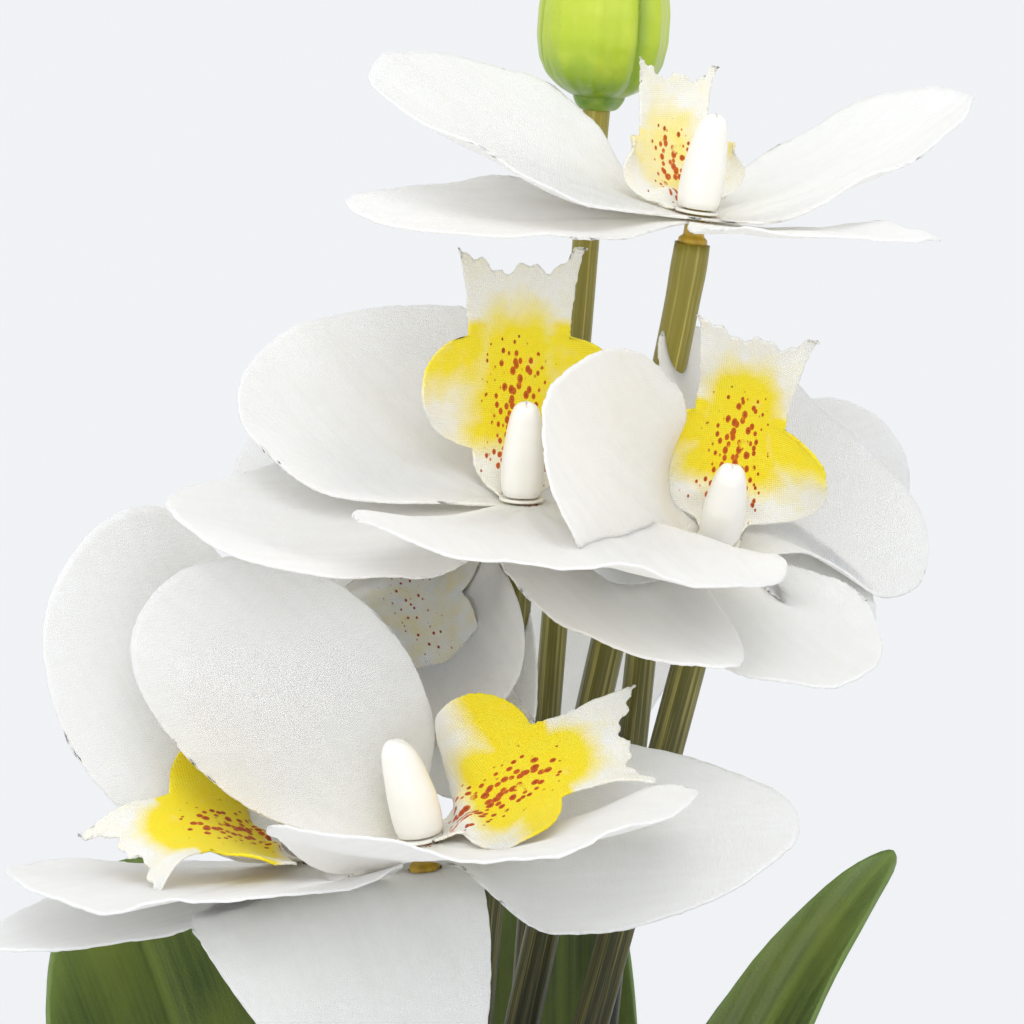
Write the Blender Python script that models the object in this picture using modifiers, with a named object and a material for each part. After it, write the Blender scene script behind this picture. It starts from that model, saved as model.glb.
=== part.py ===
"""An artificial orchid in a plain glazed pot.

Eight plastic stems stand in a foam block under a layer of soil. Seven of them carry a flower that is
pushed on a peg, and one carries a closed bud. A flower is a three-lobed sepal cut, a two-lobed petal cut
and a lip, all stiffened fabric, threaded on the peg under a moulded column. The leaves have tabs that
stand in slots in the soil.

The frame: metres, +Z up, origin at the centre of the pot's foot, viewer at -Y.
Sizes below are in millimetres and degrees, and become metres when a mesh is made.
"""

import math

import bmesh
import bpy
import numpy as np
from mathutils import Matrix, Vector

MM = 0.001

# ---- driving sizes --------------------------------------------------------------------------------
GAP = 0.3  # between pieces that touch or fit
BLOOM_SCALE = 1.0  # flower sizes and the places of the flowers over the soil

POT_HEIGHT = 108.0
POT_TOP_RADIUS = 58.0
POT_FOOT_RADIUS = 43.0
POT_WALL = 4.5
POT_FLOOR = 7.0
RIM_OVER_SOIL = 9.0

SOIL_DEPTH = 14.0
SOIL_CROWN = 4.0  # how much higher the soil is in the middle

STEM_IN_SOIL = 48.0
SOCKET_DEPTH = 6.0

PEG_RADIUS = 1.6
PEG_SHOWN = 1.4  # of the peg, between stem and sepals
FABRIC = 0.5
HUB_RADIUS = 4.4  # the uncut middle of each fabric layer
LIP_HUB_RADIUS = 3.5

COLUMN_HEIGHT = 15.5
COLUMN_RADIUS = 4.1
COLUMN_BORE_DEPTH = 3.0

LIP_LENGTH = 35.0
LIP_NECK_ANGLE = 60.0  # half the arc of the hub that the lip grows from

LEAF_THICKNESS = 1.3
LEAF_TAB_WIDTH = 11.0
LEAF_TAB_DEPTH = 9.0

BUD_HEIGHT = 33.0
BUD_RADIUS = 10.2
BUD_SOCKET_DEPTH = 5.0

TEPAL_ROWS, TEPAL_COLUMNS = 4, 6
STEM_SIDES = 8

# ---- what follows from them -----------------------------------------------------------------------
SOIL_TOP = POT_HEIGHT - RIM_OVER_SOIL
SOIL_MIDDLE = SOIL_TOP + SOIL_CROWN
SOIL_BOTTOM = SOIL_TOP - SOIL_DEPTH
HOLE_RADIUS = PEG_RADIUS + GAP + 0.1  # a many-sided hole clears the peg at the middle of its sides
SEPAL_LEVEL = PEG_SHOWN + FABRIC / 2
PETAL_LEVEL = SEPAL_LEVEL + FABRIC + GAP
LIP_LEVEL = PETAL_LEVEL + FABRIC + GAP
COLUMN_LEVEL = LIP_LEVEL + FABRIC / 2 + GAP

# ---- outlines: half widths are shares of a lobe's half width, lengths of its length ----------------
# side: where the sides end and the rounded tip begins. point: 1 is an ellipse, 2 a parabola.
PETAL_OUTLINE = {"claw": 5.0, "side": 0.52, "fan": 1.7, "shoulder": 0.85, "point": 0.9}
SEPAL_OUTLINE = {"claw": 4.2, "side": 0.40, "fan": 1.5, "shoulder": 0.75, "point": 1.5}
LEAF_OUTLINE = {"claw": LEAF_TAB_WIDTH / 2, "side": 0.48, "fan": 1.4, "shoulder": 0.8}
# (share of the length, half width in mm) down one side of the lip: neck, side lobe, waist, middle lobe, tip
LIP_SIDE = [(0, 3.6), (0.08, 4.2), (0.22, 11.0), (0.34, 17.0), (0.44, 14.0), (0.53, 6.6), (0.66, 8.4),
            (0.80, 7.4), (0.90, 6.4), (1.0, 11.0)]
LIP_ROWS = [0.1, 0.22, 0.34, 0.44, 0.53, 0.66, 0.88, 1.0]

# ---- the flowers ----------------------------------------------------------------------------------
# root: where the stem leaves the soil, from the pot's middle. hub: where the stem ends, over the middle
# of the soil. lean: degrees that the flower faces off vertical, to the right (+X) and to the front (-Y).
# stem: the stem's radius.
# A lobe is (azimuth, rise at the hub, rise at the tip, cup, twist, length, half width, sweep): azimuth
# from +X towards +Y in the flower's own plane, rises over that plane, cup the angle its edges turn up,
# sweep how far its tip swings sideways. The lip is (azimuth, rise, end rise, cup, twist).
FLOWERS = {
    "flower_1": {
        "root": (-11.0, 6.0), "hub": (30.7, 4.0, 222.4), "lean": (5, 0), "stem": 3.0,
        "petals": [(172, 10, 22, 20, -7, 54, 27, 0), (25, 17, 29, 15, -6, 52, 25, 0)],
        "sepals": [(197, -3, -1, 10, -8, 58, 18, 0), (312, 1, 3, 10, 4, 50, 17, 0), (92, -16, -28, 0, 0, 42, 13, 0)],
        "lip": (88, 10, 84, 100, 0),
    },
    "flower_2": {
        "root": (-13.0, -8.0), "hub": (1.3, -12.0, 178.5), "lean": (2, 2), "stem": 2.6,
        "petals": [(143, 10, 20, 15, -20, 52, 30, 0), (284, -21, 8, 4, -16, 52, 33, 0)],
        "sepals": [(201, -20, 6, 10, -10, 58, 22, 0), (308, -42, -8, 8, 0, 54, 15, 0), (80, -4, 4, 10, 0, 30, 13, 0)],
        "lip": (96, 62, 98, 85, 0),
    },
    "flower_3": {
        "root": (-4.0, -4.0), "hub": (32.0, -11.0, 172.8), "lean": (8, 28), "stem": 3.0,
        "petals": [(187, 54, 66, 30, 0, 40, 24, 0), (36, -12, 36, 20, 14, 45, 28, 0)],
        "sepals": [(316, -34, 24, 10, 0, 44, 17, 0), (62, -58, -62, 10, 0, 36, 9, 0), (4, -28, -22, 10, 0, 30, 12, 0)],
        "lip": (92, 30, 110, 90, 0),
    },
    "flower_4": {
        "root": (-16.0, -20.0), "hub": (-13.3, -45.0, 131.9), "lean": (-8, 4), "stem": 2.8,
        "petals": [(166, 42, 58, 20, -16, 59, 26, 0), (293, 10, 14, 22, -4, 50, 34, 0)],
        "sepals": [(118, 8, 14, 0, 0, 28, 8, 0), (354, -12, -4, 10, 24, 58, 22, 0), (80, -50, -88, 5, 0, 54, 14, 0)],
        "lip": (4, 30, 4, 75, 42),
    },
    "flower_5": {
        "root": (-23.0, -4.0), "hub": (-31.5, -26.0, 124.5), "lean": (-8, 4), "stem": 2.8,
        "petals": [(145, 56, 72, -20, 0, 62, 25, 0), (236, 8, 14, 12, 0, 52, 33, 0)],
        "sepals": [(207, -8, -6, 10, 0, 54, 19, 0), (264, 4, -104, 5, 0, 60, 19, 8), (90, -50, -60, 10, 0, 30, 10, 0)],
        "lip": (232, 42, -4, 95, 0),
    },
    "flower_6": {
        "root": (-15.0, 15.0), "hub": (-22.0, 10.0, 167.0), "lean": (4, 76), "stem": 2.8,
        "petals": [(306, 46, 66, 70, 0, 42, 16, 0), (135, -20, -26, 20, 0, 32, 14, 0)],
        "sepals": [(294, 32, 54, 70, 0, 50, 17, 0), (20, -40, -50, 10, 0, 30, 12, 0), (200, -44, -54, 10, 0, 28, 10, 0)],
        "lip": (298, 66, 80, 60, 0),
    },
    "flower_7": {
        "root": (-8.0, 24.0), "hub": (24.0, 46.0, 164.0), "lean": (8, -50), "stem": 2.8,
        "petals": [(355, 14, 24, 15, 0, 46, 24, 0), (170, 14, 24, 15, 0, 46, 24, 0)],
        "sepals": [(116, -40, -44, 40, 0, 58, 17, 0), (20, -10, -10, 0, 0, 42, 15, 0), (300, 4, 8, 10, 0, 40, 14, 0)],
        "lip": (80, 55, 85, 70, 0),
    },
}
BUD = {"root": (-3.0, 10.0), "hub": (14.7, 42.0, 237.8), "lean": (4, 0), "stem": 2.4}

# ---- the leaves: foot over the soil, azimuth it grows to, rise at the foot and at the tip, fold of its
# halves, turn about its own length, length, half width, sharpness of the tip
LEAVES = {
    "leaf_right": ((22.0, -6.0), 34, 82, 48, 34, -10, 126, 19, 1.7),
    "leaf_left": ((-36.0, 10.0), 198, 88, 52, 20, -26, 124, 27, 1.0),
    "leaf_back": ((8.0, 32.0), 80, 84, 80, 20, 0, 118, 14, 1.5),
    "leaf_front": ((4.0, -30.0), 272, 60, -22, 26, 0, 104, 19, 1.5),
    "leaf_front_left": ((-30.0, -21.0), 222, 58, -20, 24, 0, 92, 17, 1.5),
    "leaf_back_right": ((27.0, 14.0), 30, 56, -16, 24, 0, 98, 17, 1.5),
    "leaf_back_left": ((-16.0, 31.0), 122, 62, -12, 24, 0, 110, 18, 1.5),
}

COLOURS = {
    "fabric": ((0.93, 0.93, 0.91), 0.8),
    "lip": ((0.95, 0.78, 0.15), 0.8),
    "column": ((0.96, 0.95, 0.92), 0.35),
    "peg": ((0.80, 0.62, 0.12), 0.4),
    "stem": ((0.30, 0.29, 0.11), 0.45),
    "bud": ((0.50, 0.62, 0.05), 0.4),
    "leaf": ((0.13, 0.26, 0.05), 0.45),
    "glaze": ((0.92, 0.92, 0.90), 0.15),
    "soil": ((0.09, 0.05, 0.03), 0.95),
    "foam": ((0.30, 0.34, 0.26), 0.95),
}


# ---- scene ----------------------------------------------------------------------------------------
def clear_scene():
    for obj in list(bpy.data.objects):
        bpy.data.objects.remove(obj, do_unlink=True)
    for collection in list(bpy.data.collections):
        bpy.data.collections.remove(collection)


def new_collection(name):
    collection = bpy.data.collections.new(name)
    bpy.context.scene.collection.children.link(collection)
    return collection


def material(name):
    found = bpy.data.materials.get(name)
    if found:
        return found
    colour, roughness = COLOURS[name]
    made = bpy.data.materials.new(name)
    made.use_nodes = True
    shader = made.node_tree.nodes["Principled BSDF"]
    shader.inputs["Base Color"].default_value = (*colour, 1.0)
    shader.inputs["Roughness"].default_value = roughness
    made.diffuse_color = (*colour, 1.0)
    return made


def add_mesh(name, mesh, finish, collection, matrix=None):
    obj = bpy.data.objects.new(name, mesh)
    if matrix is not None:
        obj.matrix_world = matrix
    if finish:
        mesh.materials.clear()
        mesh.materials.append(material(finish))
    collection.objects.link(obj)
    return obj


def smooth(mesh, angle=40):
    mesh.shade_smooth()
    mesh.set_sharp_from_angle(angle=math.radians(angle))


def mesh_of(builder, name):
    """The mesh that a bmesh holds, with its doubles merged and its faces pointing one way."""
    bmesh.ops.remove_doubles(builder, verts=builder.verts, dist=1e-5)
    bmesh.ops.recalc_face_normals(builder, faces=builder.faces)
    mesh = bpy.data.meshes.new(name)
    builder.to_mesh(mesh)
    builder.free()
    return mesh


def cutter(obj, collection):
    obj.hide_render = True
    obj.display_type = "WIRE"
    for holder in list(obj.users_collection):
        holder.objects.unlink(obj)
    collection.objects.link(obj)
    return obj


def cut(obj, tool):
    modifier = obj.modifiers.new("cut_" + tool.name, "BOOLEAN")
    modifier.operation = "DIFFERENCE"
    modifier.solver = "EXACT"
    modifier.object = tool


def thicken(obj, thickness):
    modifier = obj.modifiers.new("thickness", "SOLIDIFY")
    modifier.thickness = thickness * MM
    modifier.offset = 0.0


# ---- curved sheets --------------------------------------------------------------------------------
def lobe_flat(outline, length, half_width, t, phi):
    """(along, across) of a lobe before it is bent: t runs from hub to tip, phi from side to side."""
    grown = np.sin(np.pi / 2 * t) ** outline["shoulder"]
    half = outline["claw"] + (half_width - outline["claw"]) * grown
    tip = (1 - outline["side"]) * t ** outline["fan"] * np.cos(phi) ** outline["point"]
    return length * (outline["side"] * t + tip), half * np.sin(phi)


def bent(along, across, rise, end_rise, cup, twist, length, half_width, sweep):
    """Bends a flat lobe: its length to an arc that climbs from rise to end_rise, its width to an arc
    that turns each edge up by cup, and turns it about its length by twist. Gives (out, side, up)."""
    start, end = math.radians(rise), math.radians(end_rise)
    turn = (end - start) / length
    if abs(turn) < 1e-6:
        turn = 1e-6
    angle = start + turn * along
    out = (np.sin(angle) - math.sin(start)) / turn
    up = (math.cos(start) - np.cos(angle)) / turn
    share = along / length
    ease = np.clip(share / 0.35, 0, 1)
    bow = math.radians(cup) / half_width * ease * ease * (3 - 2 * ease)
    bow = np.where(np.abs(bow) < 1e-6, 1e-6, bow)
    side = np.sin(across * bow) / bow
    lift = (1 - np.cos(across * bow)) / bow
    roll = math.radians(twist) * ease * ease * (3 - 2 * ease)
    side, lift = side * np.cos(roll) - lift * np.sin(roll), side * np.sin(roll) + lift * np.cos(roll)
    return out - lift * np.sin(angle), side + sweep * share**2, up + lift * np.cos(angle)


def turned(out, side, up, azimuth):
    a = math.radians(azimuth)
    return np.stack([out * math.cos(a) - side * math.sin(a), out * math.sin(a) + side * math.cos(a), up], -1)


def add_grid(builder, rows):
    """Faces between rows of points, which all have the same count."""
    made = [[builder.verts.new(Vector(p) * MM) for p in row] for row in rows]
    for lower, upper in zip(made, made[1:]):
        for i in range(len(lower) - 1):
            builder.faces.new((lower[i], lower[i + 1], upper[i + 1], upper[i]))


def arc(radius, start, end, level, count):
    a = np.radians(np.linspace(start, end, count + 1))
    return np.stack([radius * np.cos(a), radius * np.sin(a), np.full_like(a, level)], -1)


def layer_mesh(name, lobes, outline, level):
    """One cut of fabric: a pierced hub whose rim each lobe takes up to half way to its neighbours."""
    builder = bmesh.new()
    hub = HUB_RADIUS * BLOOM_SCALE
    ordered = sorted(lobes, key=lambda lobe: lobe[0] % 360)
    for i, lobe in enumerate(ordered):
        azimuth = lobe[0] % 360
        before = ordered[i - 1][0] % 360 - (360 if i == 0 else 0)
        after = ordered[(i + 1) % len(ordered)][0] % 360 + (360 if i == len(ordered) - 1 else 0)
        start, end = (before + azimuth) / 2, (azimuth + after) / 2
        rows = [arc(radius, start, end, level, TEPAL_COLUMNS) for radius in (HOLE_RADIUS, hub)]
        phi = np.linspace(-np.pi / 2, np.pi / 2, TEPAL_COLUMNS + 1)
        length, half_width = lobe[5] * BLOOM_SCALE - hub, lobe[6] * BLOOM_SCALE
        for t in (np.arange(TEPAL_ROWS) + 1) / TEPAL_ROWS:
            along, across = lobe_flat(outline, length, half_width, t, phi)
            out, side, up = bent(along, across, *lobe[1:5], length, half_width, lobe[7])
            rows.append(turned(out + hub, side, up + level, azimuth))
        add_grid(builder, rows)
    return mesh_of(builder, name)


def lip_flat(t, v):
    """(along, across) of the lip before it is bent. Its side lobes sweep on, and its tip ends in two points."""
    half = np.interp(t, [p[0] for p in LIP_SIDE], [p[1] for p in LIP_SIDE]) * BLOOM_SCALE
    wing = np.exp(-(((t - 0.36) / 0.14) ** 2))
    points = np.clip((t - 0.85) / 0.15, 0, 1)
    along = LIP_LENGTH * BLOOM_SCALE * (t + 0.10 * wing * v**2 + 0.05 * points * np.abs(v) ** 3)
    return along, half * v


def lip_mesh(name, azimuth, rise, end_rise, cup, roll):
    """The lip: a pierced ring, and a body that grows from an arc of the ring."""
    builder = bmesh.new()
    hub = LIP_HUB_RADIUS * BLOOM_SCALE
    around = int(TEPAL_COLUMNS * 180 / LIP_NECK_ANGLE)
    start = azimuth - LIP_NECK_ANGLE
    add_grid(builder, [arc(radius, start, start + 360, LIP_LEVEL, around) for radius in (HOLE_RADIUS, hub)])
    rows = [arc(hub, start, azimuth + LIP_NECK_ANGLE, LIP_LEVEL, TEPAL_COLUMNS)]
    v = np.linspace(-1, 1, TEPAL_COLUMNS + 1)
    length = LIP_LENGTH * BLOOM_SCALE
    for t in LIP_ROWS:
        along, across = lip_flat(t, v)
        out, side, up = bent(along, across, rise, end_rise, cup, roll, length, 17.0 * BLOOM_SCALE, 0)
        rows.append(turned(out + hub, side, up + LIP_LEVEL, azimuth))
    add_grid(builder, rows)
    return mesh_of(builder, name)


# ---- places ---------------------------------------------------------------------------------------
def facing(lean):
    right, front = (math.tan(math.radians(a)) for a in lean)
    return Vector((right, -front, 1.0)).normalized()


def hub_place(hub):
    x, y, z = hub
    return Vector((x * BLOOM_SCALE, y * BLOOM_SCALE, SOIL_MIDDLE + z * BLOOM_SCALE))


def hub_matrix(hub, lean):
    """A flower's own frame: +Z the way it faces, +X as near to the row's +X as that leaves."""
    up = facing(lean)
    far = up.cross(Vector((1, 0, 0))).normalized()
    across = far.cross(up)
    turn = Matrix((across, far, up)).transposed().to_4x4()
    return Matrix.Translation(hub_place(hub) * MM) @ turn


def stem_line(root, hub, lean, steps=9):
    """The stem's middle line: straight up out of the soil, then one smooth bow into the flower's axis."""
    foot = Vector((*root, SOIL_MIDDLE - STEM_IN_SOIL))
    start, end = Vector((*root, SOIL_MIDDLE + 2.0)), hub_place(hub)
    reach = (end - start).length
    a, b = start + Vector((0, 0, reach * 0.16)), end - facing(lean) * reach * 0.16
    line = [foot]
    for s in np.linspace(0, 1, steps + 1):
        line.append(start * (1 - s) ** 3 + a * 3 * s * (1 - s) ** 2 + b * 3 * s**2 * (1 - s) + end * s**3)
    return line


# ---- pieces ---------------------------------------------------------------------------------------
def rod_mesh(name, line, radius):
    """A round rod along a line, as a closed mesh."""
    curve = bpy.data.curves.new(name, "CURVE")
    curve.dimensions = "3D"
    curve.bevel_depth = radius * MM
    curve.bevel_resolution = STEM_SIDES // 2 - 2
    curve.use_fill_caps = True
    spline = curve.splines.new("POLY")
    spline.points.add(len(line) - 1)
    for point, place in zip(spline.points, line):
        point.co = (*(place * MM), 1.0)
    obj = bpy.data.objects.new(name, curve)
    bpy.context.scene.collection.objects.link(obj)
    bpy.context.view_layer.update()
    mesh = bpy.data.meshes.new_from_object(obj.evaluated_get(bpy.context.evaluated_depsgraph_get()))
    bpy.data.objects.remove(obj)
    builder = bmesh.new()
    builder.from_mesh(mesh)
    bpy.data.meshes.remove(mesh)
    return mesh_of(builder, name)


def round_cutter(name, radius, low, high, matrix, collection, sides=12):
    """A cylinder from low to high on the Z axis of matrix."""
    builder = bmesh.new()
    bmesh.ops.create_cone(builder, cap_ends=True, segments=sides, radius1=radius * MM, radius2=radius * MM,
                          depth=(high - low) * MM)
    bmesh.ops.translate(builder, verts=builder.verts, vec=(0, 0, (high + low) / 2 * MM))
    return cutter(add_mesh(name, mesh_of(builder, name), None, collection, matrix), collection)


def turned_part(name, profile, finish, collection, matrix=None, steps=12):
    """A profile of (radius, height) points turned about Z. It starts and ends on the axis, or closes."""
    mesh = bpy.data.meshes.new(name)
    points = [(r * MM, 0, z * MM) for r, z in profile]
    mesh.from_pydata(points, [(i, i + 1) for i in range(len(points) - 1)], [])
    obj = add_mesh(name, mesh, finish, collection, matrix)
    screw = obj.modifiers.new("turn", "SCREW")
    screw.steps = screw.render_steps = steps
    screw.use_merge_vertices = True
    screw.merge_threshold = 0.0001 * MM
    screw.use_smooth_shade = True
    return obj


def make_stem(name, spec, collection, helpers):
    """A stem, with a blind socket for the flower's peg in its end."""
    line = stem_line(spec["root"], spec["hub"], spec["lean"])
    obj = add_mesh(name, rod_mesh(name, line, spec["stem"]), "stem", collection)
    smooth(obj.data)
    return obj, line


def make_flower(name, spec, collection, helpers):
    place = hub_matrix(spec["hub"], spec["lean"])
    stem, _ = make_stem(name + "_stem", spec, collection, helpers)
    socket = round_cutter(name + "_socket", PEG_RADIUS + GAP, -SOCKET_DEPTH, 2.0, place, helpers)
    cut(stem, socket)
    peg = bmesh.new()
    low, high = GAP - SOCKET_DEPTH, COLUMN_LEVEL + COLUMN_BORE_DEPTH - GAP
    bmesh.ops.create_cone(peg, cap_ends=True, segments=10, radius1=PEG_RADIUS * MM, radius2=PEG_RADIUS * MM,
                          depth=(high - low) * MM)
    bmesh.ops.translate(peg, verts=peg.verts, vec=(0, 0, (high + low) / 2 * MM))
    add_mesh(name + "_peg", mesh_of(peg, name + "_peg"), "peg", collection, place)
    for part, outline, level in (("sepals", SEPAL_OUTLINE, SEPAL_LEVEL), ("petals", PETAL_OUTLINE, PETAL_LEVEL)):
        mesh = layer_mesh(f"{name}_{part}", spec[part], outline, level)
        smooth(mesh)
        thicken(add_mesh(f"{name}_{part}", mesh, "fabric", collection, place), FABRIC)
    mesh = lip_mesh(name + "_lip", *spec["lip"])
    smooth(mesh)
    thicken(add_mesh(name + "_lip", mesh, "lip", collection, place), FABRIC)
    bore, top, r = HOLE_RADIUS, COLUMN_HEIGHT, COLUMN_RADIUS
    profile = [(0, top), (r * 0.42, top * 0.97), (r * 0.70, top * 0.84), (r * 0.95, top * 0.45), (r, top * 0.22),
               (r * 0.86, 0), (bore, 0), (bore, COLUMN_BORE_DEPTH), (0, COLUMN_BORE_DEPTH)]
    column_place = place @ Matrix.Translation((0, 0, COLUMN_LEVEL * MM))
    turned_part(name + "_column", profile, "column", collection, column_place)


def make_bud(collection, helpers):
    stem, _ = make_stem("bud_stem", BUD, collection, helpers)
    place = hub_matrix(BUD["hub"], BUD["lean"])
    h, r, bore = BUD_HEIGHT, BUD_RADIUS, BUD["stem"] + GAP
    low = -BUD_SOCKET_DEPTH + GAP  # the stem's end stands in the bud's blind socket
    heights = [(0, 1.0), (0.36, 0.97), (0.70, 0.84), (0.93, 0.64), (1.0, 0.40), (0.90, 0.19), (0.62, 0.05)]
    profile = [(r * a, low + h * b) for a, b in heights]
    profile += [(bore + 0.9, low), (bore, low), (bore, low + BUD_SOCKET_DEPTH), (0, low + BUD_SOCKET_DEPTH)]
    turned_part("bud", profile, "bud", collection, place, steps=16)


def leaf_rows(spec, rows=6, columns=4):
    """A leaf: a straight tab that stands in the soil, then a blade that arches out and folds along its rib."""
    (x, y), azimuth, rise, end_rise, fold, turn, length, half_width, point = spec
    outline = {**LEAF_OUTLINE, "point": point}
    phi = np.linspace(-np.pi / 2, np.pi / 2, columns + 1)
    start = math.radians(rise)
    made = []
    tab = LEAF_TAB_WIDTH / 2 * np.sin(phi)
    for depth in (-LEAF_TAB_DEPTH, 0.0):
        made.append(turned(np.full_like(tab, 0.0), tab, np.full_like(tab, depth), azimuth))
    for t in (np.arange(rows) + 1) / rows:
        along, across = lobe_flat(outline, length, half_width, t, phi)
        out, side, up = bent(along, across, rise, end_rise, fold, turn, length, half_width, 0)
        made.append(turned(out, side, up, azimuth))
    base = np.array([x, y, SOIL_MIDDLE])
    return [row + base for row in made]


def make_leaf(name, spec, soil, collection, helpers):
    builder = bmesh.new()
    add_grid(builder, leaf_rows(spec))
    mesh = mesh_of(builder, name)
    smooth(mesh)
    thicken(add_mesh(name, mesh, "leaf", collection), LEAF_THICKNESS)
    (x, y), azimuth = spec[0], spec[1]
    box = bmesh.new()
    bmesh.ops.create_cube(box, size=1.0)
    size = (LEAF_THICKNESS + 2 * GAP, LEAF_TAB_WIDTH + 2 * GAP, 2 * (LEAF_TAB_DEPTH + GAP))
    bmesh.ops.scale(box, verts=box.verts, vec=[s * MM for s in size])
    place = Matrix.Translation(Vector((x, y, SOIL_MIDDLE)) * MM) @ Matrix.Rotation(math.radians(azimuth), 4, "Z")
    slot = add_mesh(name + "_slot", mesh_of(box, name + "_slot"), None, helpers, place)
    cut(soil, cutter(slot, helpers))


def inner_radius(height):
    """The pot's inner radius at a height."""
    return POT_FOOT_RADIUS - POT_WALL + (POT_TOP_RADIUS - POT_FOOT_RADIUS) * height / POT_HEIGHT


def make_pot(collection, helpers):
    """The pot, the foam block that grips the stems, and the layer of soil over it."""
    top, foot, wall, height = POT_TOP_RADIUS, POT_FOOT_RADIUS, POT_WALL, POT_HEIGHT
    edge = 1.2
    pot = [(0, 0), (foot - edge, 0), (foot, edge), (top, height - edge), (top - edge, height),
           (top - wall + edge, height), (top - wall, height - edge), (inner_radius(POT_FLOOR + 2), POT_FLOOR + 2),
           (inner_radius(POT_FLOOR) - 2, POT_FLOOR), (0, POT_FLOOR)]
    turned_part("pot", pot[::-1], "glaze", collection, steps=28)
    low, high = POT_FLOOR + GAP, SOIL_BOTTOM - GAP
    side = 0.6  # the block is a loose fit in the pot
    foam = [(0, high), (inner_radius(high) - side, high), (inner_radius(low + 3) - side, low + 3),
            (inner_radius(low) - side - 3, low), (0, low)]
    foam = turned_part("foam_block", foam, "foam", collection, steps=20)
    rim, low = inner_radius(SOIL_TOP) - side, SOIL_BOTTOM
    soil = [(0, SOIL_MIDDLE), (rim * 0.55, SOIL_MIDDLE - 0.8), (rim - 3, SOIL_TOP), (rim, SOIL_TOP - 2),
            (inner_radius(low) - side, low), (0, low)]
    soil = turned_part("soil", soil, "soil", collection, steps=20)
    for name, spec in [*FLOWERS.items(), ("bud", BUD)]:
        place = Matrix.Translation(Vector((*spec["root"], SOIL_MIDDLE)) * MM)
        bore = spec["stem"] + GAP
        tool = round_cutter(name + "_bore", bore, -STEM_IN_SOIL - GAP, 12.0, place, helpers, STEM_SIDES)
        cut(soil, tool)
        cut(foam, tool)
    return soil


def main():
    clear_scene()
    plant = new_collection("potted_orchid")
    helpers = new_collection("cutters")
    soil = make_pot(plant, helpers)
    for name, spec in FLOWERS.items():
        make_flower(name, spec, plant, helpers)
    make_bud(plant, helpers)
    for name, spec in LEAVES.items():
        make_leaf(name, spec, soil, plant, helpers)


main()
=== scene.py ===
"""The looks of an artificial orchid in a plain glazed pot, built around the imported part.

Metres, +Z up, the pot's foot on Z = 0, the viewer at -Y. Sizes in the tables are millimetres and degrees.
"""

import math

import bmesh
import bpy
import numpy as np
from mathutils import Matrix, Vector


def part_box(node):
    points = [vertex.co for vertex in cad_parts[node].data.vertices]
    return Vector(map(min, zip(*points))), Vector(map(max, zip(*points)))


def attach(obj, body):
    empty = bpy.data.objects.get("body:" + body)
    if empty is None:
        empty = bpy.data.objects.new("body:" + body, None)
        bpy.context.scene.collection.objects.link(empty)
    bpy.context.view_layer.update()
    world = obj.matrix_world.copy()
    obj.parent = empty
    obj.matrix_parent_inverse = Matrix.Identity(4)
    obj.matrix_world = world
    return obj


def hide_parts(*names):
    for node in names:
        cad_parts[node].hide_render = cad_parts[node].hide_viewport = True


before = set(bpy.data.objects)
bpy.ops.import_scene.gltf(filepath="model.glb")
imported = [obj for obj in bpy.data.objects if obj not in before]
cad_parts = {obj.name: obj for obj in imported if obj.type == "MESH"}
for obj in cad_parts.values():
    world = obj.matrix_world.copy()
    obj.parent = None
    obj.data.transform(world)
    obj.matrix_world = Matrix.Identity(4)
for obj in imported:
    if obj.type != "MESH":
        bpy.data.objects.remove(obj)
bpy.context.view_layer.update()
MM = 0.001


# ---- the pot --------------------------------------------------------------------------------------
# A plain tapered pot, slip-cast in white stoneware and glazed all over but for the foot it stands on.
# The wall is carried up the pot and over the rounded rim as one profile, then turned about the axis.
def put_mesh(name, points, faces, uv=None, values=None, merge=1e-6):
    """A mesh of the given points and faces. uv is a pair for each point, values are named numbers for each
    point, and both are held by the mesh. Points closer than merge become one, so seams and poles close."""
    mesh = bpy.data.meshes.new(name)
    mesh.from_pydata(points, [], faces)
    if uv is not None:
        corners = np.empty(len(mesh.loops), np.int32)
        mesh.loops.foreach_get("vertex_index", corners)
        layer = mesh.uv_layers.new(name="flat")
        layer.data.foreach_set("uv", np.asarray(uv, np.float32)[corners].ravel())
    for key, value in (values or {}).items():
        mesh.attributes.new(key, "FLOAT", "POINT").data.foreach_set("value", np.asarray(value, np.float32))
    builder = bmesh.new()
    builder.from_mesh(mesh)
    bmesh.ops.remove_doubles(builder, verts=builder.verts, dist=merge)
    bmesh.ops.recalc_face_normals(builder, faces=builder.faces)
    builder.to_mesh(mesh)
    builder.free()
    mesh.shade_smooth()
    obj = bpy.data.objects.new(name, mesh)
    bpy.context.scene.collection.objects.link(obj)
    return obj


def grid_faces(rows, columns, start=0):
    """Quads between neighbours in a grid of rows by columns of points, numbered row by row from start."""
    i, j = np.meshgrid(np.arange(rows - 1), np.arange(columns - 1), indexing="ij")
    a = start + (i * columns + j).ravel()
    return np.stack([a, a + 1, a + columns + 1, a + columns], -1)


def turned_grid(profile, steps):
    """A profile of (radius, height) pairs, turned about Z: each pair becomes a ring of steps + 1 points."""
    a = np.linspace(0, 2 * np.pi, steps + 1)
    r, z = profile[:, :1], profile[:, 1:]
    return np.stack([r * np.cos(a), r * np.sin(a), np.broadcast_to(z, (len(profile), steps + 1))], -1)


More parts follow.
